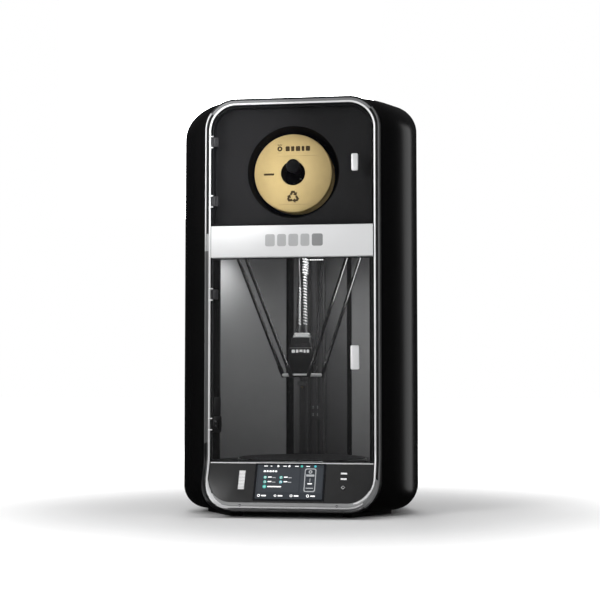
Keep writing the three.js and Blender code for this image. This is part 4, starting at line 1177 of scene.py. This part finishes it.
# faces 0 and 14 are the bore, in near-black painted shade; 3 to 5 and 10 to 12 are the rolled rims
kinds = []
for i in range(128):
    for k in range(len(prof)):
        kinds.append(2 if k in (0, 14) else 1 if k in (3, 4, 5, 10, 11, 12) else 0)
make("filament_spool", v, f, ["card", "card_edge", "bore"], "spool", face_mats=kinds, sharp=40, replaces=("filament_spool",), slot="spool_card")

# wound strand: ridged surface, one ridge a turn
prof = [(45, 3.4)]
turns = 32
w = (SPOOL_FRONT + 61.5 - SPOOL_FRONT - 3.4) / turns
for i in range(turns):
    y = 3.4 + i * w
    for t in (0.0, 0.2, 0.5, 0.8):
        prof.append((87.0 + 0.9 * math.sin(math.pi * t), y + t * w))
prof += [(87.0, 61.5), (45, 61.5)]
v, f = lathe(prof, (SPOOL_X, SPOOL_FRONT, SPOOL_Z), (0, 1, 0), 96)
make("filament_winding", v, f, "filament", "spool", sharp=60, replaces=("filament_winding",), slot="filament")

# prints on the front flange: a plain band mark, thin rules, a dash and the three-arrow recycling sign
FL = SPOOL_FRONT - 0.06


def on_flange(kind, outline2d, bits):
    v, f = stack(outline2d, [(FL, 0), (FL + 0.1, 0)], lambda x, z, h: (SPOOL_X + x, h, SPOOL_Z + z))
    bits.setdefault(kind, []).append((v, f))


bits = {}
# generic header: a small spool pictogram and a row of plain blocks
for x, z, r0, r1 in ((-33.7, 62.5, 2.6, 6.4),):
    v, f = loft([[(SPOOL_X + x + r * math.cos(2 * math.pi * k / 28), y, SPOOL_Z + z + r * math.sin(2 * math.pi * k / 28)) for k in range(28)]
                 for y, r in ((FL, r0), (FL, r1), (FL + 0.1, r1), (FL + 0.1, r0))], closed=True)
    bits.setdefault("print_brown", []).append((v, f))
on_flange("print_brown", rrect(-39.5, -28, 71.4, 73.4, 0.6, 0.6, 2), bits)
on_flange("print_faint", rrect(-40, -27.4, 51.6, 52.6, 0.3, 0.3, 2), bits)
for x0, x1 in ((-19, -8.5), (-5, 3.5), (7, 18.5), (22, 29), (32.5, 43.5)):
    on_flange("print_brown", rrect(x0, x1, 56.0, 68.5, 2.2, 2.2, 4), bits)
on_flange("print_faint", rrect(-41, 63, 43.4, 44.3, 0.3, 0.3, 2), bits)
on_flange("print_faint", rrect(-36, 37, -79.8, -79.0, 0.3, 0.3, 2), bits)
on_flange("print_brown", rrect(-75, -48, -4.9, 0.3, 2.2, 2.2, 4), bits)
# recycling sign: three bent arrows round a triangle
for k in range(3):
    a = math.radians(120 * k)
    c, s = math.cos(a), math.sin(a)
    arrow = [(1.25 * x, 1.25 * z) for x, z in ((-6.6, 5.6), (-3.2, 12.6), (2.9, 12.6), (5.0, 9.0), (8.0, 10.2), (7.2, 1.8), (-0.2, 5.2), (2.2, 6.6), (1.0, 7.9), (-0.2, 7.9), (-2.4, 3.2))]
    on_flange("print_brown", [(x * c - z * s, x * s + z * c - 60.5) for x, z in reversed(arrow)], bits)
for kind, b in bits.items():
    v, f = merge(*b)
    make("spool_" + kind, v, f, kind, "spool", smooth=False, slot="spool_card")

# ---------------------------------------------------------------- towers
def local(deg, r, t, z):
    a = math.radians(deg)
    return (r * math.cos(a) - t * math.sin(a), CY + r * math.sin(a) + t * math.cos(a), z)


def tower_place(deg):
    return lambda r, t, z: local(deg, r, t, z)


for name, deg in TOWERS.items():
    L = tower_place(deg)
    # column: extruded section with slots and small radii
    R0, R1, H = COL_R, COL_R + 26, 27
    outer2 = [(R0, -H + 1.5), (R0 + 0.5, -H + 0.5), (R0 + 1.5, -H), (R1 - 1.5, -H), (R1 - 0.5, -H + 0.5), (R1, -H + 1.5),
              (R1, H - 1.5), (R1 - 0.5, H - 0.5), (R1 - 1.5, H), (R0 + 1.5, H), (R0 + 0.5, H - 0.5), (R0, H - 1.5),
              (R0, 21.5), (R0 + 0.4, 21), (R0 + 3.6, 21), (R0 + 3.6, 17), (R0 + 0.4, 17), (R0, 16.5),
              (R0, -16.5), (R0 + 0.4, -17), (R0 + 3.6, -17), (R0 + 3.6, -21), (R0 + 0.4, -21), (R0, -21.5)]
    v, f = loft([[L(r, t, z) for r, t in outer2] for z in (56, 57, 300, 600, 983, 984)])
    # the rear column keeps the column black; the left and right columns take a near-black copy with almost no
    # reflection, as painted shade
    make(f"column_{name}", v, f, "column" if name == "rear" else "void", "housing", sharp=30, replaces=(f"column_{name}",), slot="column_alloy")
    # rail with its side grooves
    rr = [(R0 - 8.3, -5.2), (R0 - 7.6, -6), (R0 - 6.5, -6), (R0 - 5.6, -4.7), (R0 - 4.4, -4.7), (R0 - 3.5, -6), (R0 - 0.4, -6), (R0 - 0.4, 6),
          (R0 - 3.5, 6), (R0 - 4.4, 4.7), (R0 - 5.6, 4.7), (R0 - 6.5, 6), (R0 - 7.6, 6), (R0 - 8.3, 5.2)]
    v, f = loft([[L(r, t, z) for r, t in rr] for z in (128, 128.5, 955.5, 956)])
    make(f"rail_{name}", v, f, "steel", "housing", sharp=30, replaces=(f"rail_{name}",), slot="rail_steel")
    # carriage
    z = JOINT_Z
    body = f"{name}_carriage"
    parts = [stack(rrect(-20, 20, z - 28, z + 26, 4, 4, 5), rounded_levels(209, COL_R - 9, 1.2, 3), lambda t, zz, r: L(r, t, zz)),
             stack(rrect(-12, 12, z - 6, z + 6, 3, 3, 4), rounded_levels(JOINT_R - 5, 210, 0.8, 2), lambda t, zz, r: L(r, t, zz)),
             tube([L(JOINT_R, t, z) for t in (-22.5, -21.8, 21.8, 22.5)], 4.2, 24, lambda i: (3.4, 4.2, 4.2, 3.4)[i])]
    for s in (-1, 1):
        parts.append(stack(rrect(s * 16.2 - 2.8, s * 16.2 + 2.8, z - 22, z + 22, 1, 1, 2), rounded_levels(COL_R - 9.2, COL_R - 7.6, 0.3, 1), lambda t, zz, r: L(r, t, zz)))
        for dz in (-20, -11, 11, 19):
            parts.append(lathe([(0, 0), (2.6, 0), (2.6, -1.2), (2.1, -1.7), (0, -1.7)], L(209, s * 14, z + dz), tuple(Vector(L(1, 0, 0)) - Vector(L(0, 0, 0))), 18))
    v, f = merge(*parts)
    make(f"carriage_{name}", v, f, "alloy_black", body, replaces=(f"carriage_{name}",), slot="frame_alloy")

RODS = {"left": ("rod_left_rear", "rod_left_front"), "right": ("rod_right_front", "rod_right_rear"), "rear": ("rod_rear_right", "rod_rear_left")}
for name, deg in TOWERS.items():
    for side, rod_name in zip((1, -1), RODS[name]):
        a = Vector(local(deg, EFF_R, side * ROD_HALF, EFF_Z))
        c = Vector(local(deg, JOINT_R, side * ROD_HALF, JOINT_Z))
        d = (c - a).normalized()
        full = (c - a).length
        # tube swelling into the two ball sockets
        stations = [(-6.0, 3.0), (-5.4, 4.4), (-4.0, 5.1), (8, 5.1), (9, 5.6), (22, 5.6), (24, 5.2), (26, 4.5)]
        pts, rad = [], []
        for s, r in stations:
            pts.append(a + d * s); rad.append(r)
        pts.append(a + d * (full / 2)); rad.append(4.5)
        for s, r in reversed(stations):
            pts.append(c - d * s); rad.append(r)
        v, f = tube([tuple(p) for p in pts], 4.5, 28, lambda i: rad[i])
        n = 28
        kinds = []
        for i in range(len(pts) - 1):
            kinds += [0 if 6 < i < len(pts) - 8 else 1] * n
        kinds += [1, 1]
        make(rod_name, v, f, ["rod", "rod_end"], f"{name}_carriage", sharp=40, face_mats=kinds, replaces=(rod_name,), slot="rod_black")

# sensor plate low on the rear rail, held by four screws
v, f = stack(rrect(-8.5, 14, 226, 270, 2, 2, 4), rounded_levels(CY + 219.6, CY + 223.2, 0.6, 2), XZ)
make("rail_sensor", v, f, "column", "housing", slot="dark_plastic")
parts = []
for x in (-3.0, 9.0):
    for z in (236.5, 240.5, 256, 260.5):
        parts.append(lathe([(0, 0), (1.5, 0), (1.5, -0.5), (1.1, -0.9), (0, -0.9)], (x, CY + 219.7, z), (0, 1, 0), 16))
v, f = merge(*parts)
make("rail_sensor_screws", v, f, "alloy", "housing", slot="rail_steel")

# belts keep the frame's loop, with teeth on the inside run
for name, deg in TOWERS.items():
    L = tower_place(deg)
    for o in (f"belt_{name}", f"drive_pulley_{name}", f"motor_{name}"):
        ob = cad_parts[o]
        ob.data.materials.clear()
        ob.data.materials.append(M["belt" if o.startswith("belt") else "alloy" if o.startswith("drive") else "motor"])
    # idler at the top of the belt
    v, f = lathe([(0, -8.0), (2.4, -8.0), (2.4, -7.9), (12.6, -7.9), (12.6, -7.3), (10.2, -7.3), (10.2, -1.1), (12.6, -1.1), (12.6, -0.5), (0, -0.5)],
                 L(COL_R, 0, 969), tuple(Vector(L(1, 0, 0)) - Vector(L(0, 0, 0))), 40)
    make(f"idler_{name}", v, f, "alloy", "housing", slot="pulley_alloy")

# ---------------------------------------------------------------- print head
def HP(x, y, h):
    return (x, CY + y, h)


parts = [stack(circle(0, 0, 34, 72), rounded_levels(EFF_Z - 5, EFF_Z + 1, 0.8, 2), HP)]
for name, deg in TOWERS.items():
    L = tower_place(deg)
    parts.append(stack([(14, -17), (30, -15), (EFF_R - 4, -15), (EFF_R - 2, -12), (EFF_R - 2, 12), (EFF_R - 4, 15), (30, 15), (14, 17)],
                       rounded_levels(EFF_Z - 4.6, EFF_Z + 1.2, 0.8, 2), lambda r, t, z, L=L: L(r, t, z)))
v, f = merge(*parts)
make("effector_plate", v, f, "alloy_black", "print_head", replaces=("effector_plate",), slot="frame_alloy")
# bright joint bars between the ball sockets
parts = []
for name, deg in TOWERS.items():
    L = tower_place(deg)
    parts.append(tube([L(EFF_R, t, EFF_Z) for t in (-22.5, -21.7, 21.7, 22.5)], 4.2, 24, lambda i: (3.3, 4.2, 4.2, 3.3)[i]))
v, f = merge(*parts)
make("joint_bars", v, f, "pull", "print_head", slot="pulley_alloy")
# pale pad on the front edge
parts = []
for deg in (270,):
    L = tower_place(deg)
    parts.append(stack(rrect(-19, 19, 26, 41, 2, 2, 4), rounded_levels(EFF_Z - 1.5, EFF_Z + 3.2, 0.8, 2), lambda t, r, z, L=L: L(r, t, z)))
v, f = merge(*parts)
make("edge_pad", v, f, "pull", "print_head", slot="pulley_alloy")

parts = [
    stack(rrect(-24, 24, -22, 20, 6, 6, 5), rounded_levels(EFF_Z + 1.4, EFF_Z + 7, 0.4, 1), HP),
    stack(rrect(-32, 32, -29, 27, 8, 8, 8), [(EFF_Z + 5.6, 2.0), (EFF_Z + 6.4, 0.6), (EFF_Z + 8, 0), (410, 0), (414, 0.8), (424, 3.6), (428, 5.2)], HP),
    stack(rrect(-27, 27, -25, 24, 8, 8, 8), [(426, 0), (438, 0.6), (440.2, 1.4), (441, 2.8)], HP),
    stack(rrect(31, 37, -14, 8, 2, 2, 4), [(372, 1.5), (374, 0.3), (417, 0.3), (420, 1.8)], HP),
]
v, f = merge(*parts)
make("head_cover", v, f, "dark", "print_head", replaces=("head_cover",), slot="dark_plastic")
parts = [stack(rrect(-21, 21, -20, 20, 3, 3, 4), rounded_levels(441.2, 446, 0.8, 2), HP),
         stack(rrect(-18.5, 18.5, -17, 17, 3, 3, 4), rounded_levels(447.0, 452.6, 0.8, 2), HP)]
v, f = merge(*parts)
make("head_top_plates", v, f, "pull", "print_head", slot="pull_metal")
# front fan: ring, hub and blades behind a thin light line
v, f = loft([[(r * math.cos(2 * math.pi * k / 48), CY - 29 + y, 386 + r * math.sin(2 * math.pi * k / 48)) for k in range(48)] for y, r in ((-0.6, 15.5), (-0.6, 17.5), (0.4, 17.5), (0.4, 15.5))], closed=True)
parts = [(v, f), lathe([(0, -0.7), (5.6, -0.7), (6, -0.3), (6, 0.4), (0, 0.4)], (0, CY - 29, 386), (0, 1, 0), 32)]
for k in range(7):
    a = 2 * math.pi * k / 7
    pts = []
    for y in (-0.5, 0.2):
        for r, w2 in ((6, -0.12), (15.5, 0.02), (15.5, 0.42), (6, 0.18)):
            pts.append((r * math.cos(a + w2), CY - 29 + y, 386 + r * math.sin(a + w2)))
    parts.append((pts, [(0, 1, 2, 3), (7, 6, 5, 4), (0, 4, 5, 1), (1, 5, 6, 2), (2, 6, 7, 3), (3, 7, 4, 0)]))
v, f = merge(*parts)
make("head_fan", v, f, "alloy_black", "print_head", slot="dark_plastic")
v, f = merge(stack(rrect(-29, 29, 413.4, 414.8, 0.5, 0.5, 2), [(CY - 29.4, 0), (CY - 28.2, 0)], XZ))
make("head_line", v, f, "label", "print_head", slot="pull_metal")
parts = []
for x0, x1 in ((-23, -14.5), (-12, -5.5), (-3, 5), (7.5, 13), (15.5, 22)):
    parts.append(stack(rrect(x0, x1, 401.5, 409.5, 1.6, 1.6, 3), [(CY - 29.35, 0), (CY - 28.6, 0)], XZ))
v, f = merge(*parts)
# the pale blocks glow faintly: painted light
make("head_blocks", v, f, "white", "print_head", slot="white_plastic")

prof = [(0, -34), (0.9, -34), (1.4, -33.4), (3.6, -30.5), (3.6, -27), (8.4, -27), (8.6, -26.8), (8.6, -16.2), (8.4, -16), (5, -16), (5, -9.2), (8.4, -9), (8.6, -8.8), (8.6, 1), (0, 1)]
v, f = lathe(prof, (0, CY, EFF_Z), (0, 0, 1), 40)
v2, f2 = stack(rrect(-11, 11, -12, 8, 1.5, 1.5, 3), rounded_levels(EFF_Z - 26, EFF_Z - 16, 0.8, 2), HP)
make("hotend", v, f, "sock", "print_head", replaces=("hotend",), slot="hot_brass")
make("heater_sock", v2, f2, "sock", "print_head", slot="foot_rubber")
v, f = lathe([(0, -34.1), (0.9, -34.1), (1.5, -33.4), (3.8, -30.4), (3.8, -29.0), (0, -29.0)], (0, CY, EFF_Z), (0, 0, 1), 24)
make("nozzle_tip", v, f, "brass", "print_head", slot="hot_brass")

# ---------------------------------------------------------------- supply hose and filament tube
HOSE = [(5, CY + 17, 453.5), (5, CY + 18, 500), (3, CY + 30, 600), (4, CY + 44, 720), (8, CY + 44, 850), (10, CY + 36, 950), (10, CY + 34, 1018)]
path = smooth_path(HOSE, 260)
z_end = 492.0
core = [p for p in path]
v1, f1 = tube([tuple(p) for p in core], 4.6, 20)
v, f = v1, f1
hose_core = make("umbilical_hose", v, f, "hose_dark", "print_head", replaces=("umbilical_hose",), slot="hose_plastic", sharp=60)


def ridged(points, r_lo, r_hi, pitch, sides=20):
    """Spiral wrap: a helical ridge wound on the core."""
    P = [Vector(p) for p in points]
    s = [0.0]
    for i in range(1, len(P)):
        s.append(s[-1] + (P[i] - P[i - 1]).length)
    step = pitch / 7
    n = int(s[-1] / step)
    pts = []
    j = 0
    for i in range(n + 1):
        t = min(i * step, s[-1])
        while j < len(s) - 2 and s[j + 1] < t:
            j += 1
        k = (t - s[j]) / max(1e-6, s[j + 1] - s[j])
        pts.append(P[j].lerp(P[j + 1], k))
    T = [(pts[min(i + 1, len(pts) - 1)] - pts[max(i - 1, 0)]).normalized() for i in range(len(pts))]
    u = T[0].orthogonal().normalized()
    rings = []
    for i, p in enumerate(pts):
        if i:
            u = T[i - 1].rotation_difference(T[i]) @ u
        w2 = T[i].cross(u)
        ring = []
        for k in range(sides):
            a = 2 * math.pi * k / sides
            ph = (i / 7 + k / sides) % 1.0
            bump_ = 0.5 + 0.5 * math.cos(2 * math.pi * ph)
            rr = r_lo + (r_hi - r_lo) * (bump_ ** 0.8)
            ring.append(tuple(p + (u * math.cos(a) + w2 * math.sin(a)) * rr))
        rings.append(ring)
    return loft(rings)


def part_of(pts, z0, z1, dx=0.0, dy=0.0):
    return [tuple(p + Vector((dx, dy, 0))) for p in pts if z0 <= p.z <= z1]


v, f = ridged(part_of(path, 606, 1018), 3.0, 8.9, 7.2)
wrap = make("hose_wrap", v, f, "hose", "print_head", slot="hose_plastic", sharp=80)
v, f = ridged(part_of(path, 474, 612), 3.2, 5.5, 7.6)
strands = make("hose_strands", v, f, "hose", "print_head", slot="hose_plastic", sharp=80)
side_path = smooth_path([(-9, CY + 8, 453.2), (-8, CY + 10, 474), (-8, CY + 12, 520), (-8, CY + 16, 571), (-12, CY + 28, 640), (-14, CY + 36, 740), (-8, CY + 36, 860), (-2, CY + 32, 950), (0, CY + 30, 1018)], 260)
v, f = merge(tube([tuple(p) for p in side_path], 1.5, 12), tube([(9, CY + 10, 453.2), (7, CY + 13, 480), (6, CY + 16, 520)], 1.2, 10))
ptfe = make("filament_tube", v, f, "ptfe", "print_head", slot="hose_plastic", sharp=60)
v, f = ridged(part_of(side_path, 474, 574), 0.9, 3.3, 7.6, 14)
strand_left = make("hose_strand_left", v, f, "hose", "print_head", slot="hose_plastic", sharp=80)

# ---------------------------------------------------------------- bed and chamber floor
parts = [lathe([(0, 125), (163.8, 125), (165, 126), (165, 132.6), (164, 133.6), (0, 133.6)], (0, CY, 0), (0, 0, 1), 160, closed=True)]
for d in (30, 150, 270):
    a = math.radians(d)
    parts.append(lathe([(0, 121.3), (8, 121.3), (8, 125.5), (0, 125.5)], (140 * math.cos(a), CY + 140 * math.sin(a), 0), (0, 0, 1), 24, closed=True))
v, f = merge(*parts)
make("heated_bed", v, f, "bed", "housing", replaces=("heated_bed",), slot="bed_alloy")
v, f = lathe([(0, 133.9), (161.6, 133.9), (162, 134.2), (162, 134.7), (161.6, 135), (0, 135)], (0, CY, 0), (0, 0, 1), 160, closed=True)
make("build_sheet", v, f, "sheet", "housing", replaces=("build_sheet",), slot="sheet_dark")

for name, mat in (("chamber_floor", "floor_pan"), ("power_supply", "alloy"), ("power_inlet", "dark")):
    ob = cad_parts[name]
    ob.data.materials.clear()
    ob.data.materials.append(M[mat])

# feet
def pad_outline(s):
    a, b = Vector((s * 138, FRONT + 12)), Vector((s * 219, FRONT + 128))
    d = (b - a).normalized()
    n = Vector((-d.y, d.x))
    pts = []
    for c, k, e in ((a, 16, 0), (a, 14.5, -4), (a, 10, -7), (a, -10, -7), (a, -14.5, -4), (a, -16, 0), (b, -16, 0), (b, -14.5, 4), (b, -10, 7), (b, 10, 7), (b, 14.5, 4), (b, 16, 0)):
        q = c + n * k + d * e
        pts.append((q.x, q.y))
    return pts


slab("foot_left", pad_outline(-1), 0, 10.4, 0.9, XY, "rubber", "housing", replaces=("foot_left",), slot="foot_rubber")
slab("foot_right", pad_outline(1), 0, 10.4, 0.9, XY, "rubber", "housing", replaces=("foot_right",), slot="foot_rubber")
slab("foot_rear", rrect(-92, 92, 186, 222, 8, 8, 6), 0, 11.6, 0.9, XY, "rubber", "housing", replaces=("foot_rear",), slot="foot_rubber")

# chamber light under the crossbar
slab("chamber_light", rrect(36, 82, 628.6, 634, 1, 1, 2), FRONT + 21, FRONT + 27, 0.8, XZ, "groove", "housing", slot="dark_plastic")
parts = []
for i in range(6):
    parts.append(stack(rrect(42 + i * 5.8, 46.4 + i * 5.8, 626.6, 629.2, 0.5, 0.5, 2), rounded_levels(FRONT + 21.6, FRONT + 26.2, 0.3, 1), XZ))
v, f = merge(*parts)
make("chamber_leds", v, f, "led", "housing", slot="white_plastic")
area("chamber_lamp_left", (-0.135, -0.075, 0.695), (-0.25, 0.0, 0.38), 0.10, 0.29, glossy=False, seen=False)
wl = bpy.data.lights.new("wall_spot", "SPOT")
wl.energy = 1.35
wl.spot_size = math.radians(108)
wl.spot_blend = 1.0
wl.shadow_soft_size = 0.02
wo = bpy.data.objects.new("wall_spot", wl)
wo.location = (-0.165, 0.055, 0.645)
wo.rotation_euler = (Vector((-0.240, 0.125, 0.575)) - wo.location).to_track_quat("-Z", "Y").to_euler()
wo.visible_camera = False
wo.visible_glossy = False
sc.collection.objects.link(wo)
streak = area("rod_streak", (0.185, -0.16, 0.58), (0.0, -0.06, 0.58), 0.03, 0.75, 0.22, seen=False)
streak.visible_diffuse = False
streak.visible_transmission = False
rim = bpy.data.lights.new("rim_spot", "SPOT")
rim.energy = 6
rim.spot_size = math.radians(14)
rim.spot_blend = 0.8
rim.shadow_soft_size = 0.03
ro_ = bpy.data.objects.new("rim_spot", rim)
ro_.location = (0.17, -1.35, 0.66)
ro_.rotation_euler = (Vector((0.045, -0.10, 0.785)) - ro_.location).to_track_quat("-Z", "Y").to_euler()
ro_.visible_camera = False
ro_.visible_glossy = False
sc.collection.objects.link(ro_)
area("chamber_lamp_right", (0.07, -0.06, 0.70), (0.08, 0.20, 0.25), 0.16, 0.62, glossy=False, seen=False).data.spread = math.radians(105)
area("rod_strip", (0.02, -0.175, 0.71), (0.0, -0.08, 0.3), 0.30, 0.12, 0.03, seen=False)
sp = bpy.data.lights.new("bay_spot", "SPOT")
sp.energy = 46
sp.spot_size = math.radians(31)
sp.spot_blend = 1.0
sp.shadow_soft_size = 0.03
so = bpy.data.objects.new("bay_spot", sp)
so.location = (0.05, -1.06, 0.90)
so.rotation_euler = (Vector((-0.165, -0.137, 0.862)) - so.location).to_track_quat("-Z", "Y").to_euler()
so.visible_camera = False
so.visible_glossy = False
sc.collection.objects.link(so)

# ---------------------------------------------------------------- pieces that join the housing and the head
for o in (hose_core, wrap, strands, ptfe, strand_left):
    o.parent = None
    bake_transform(o)
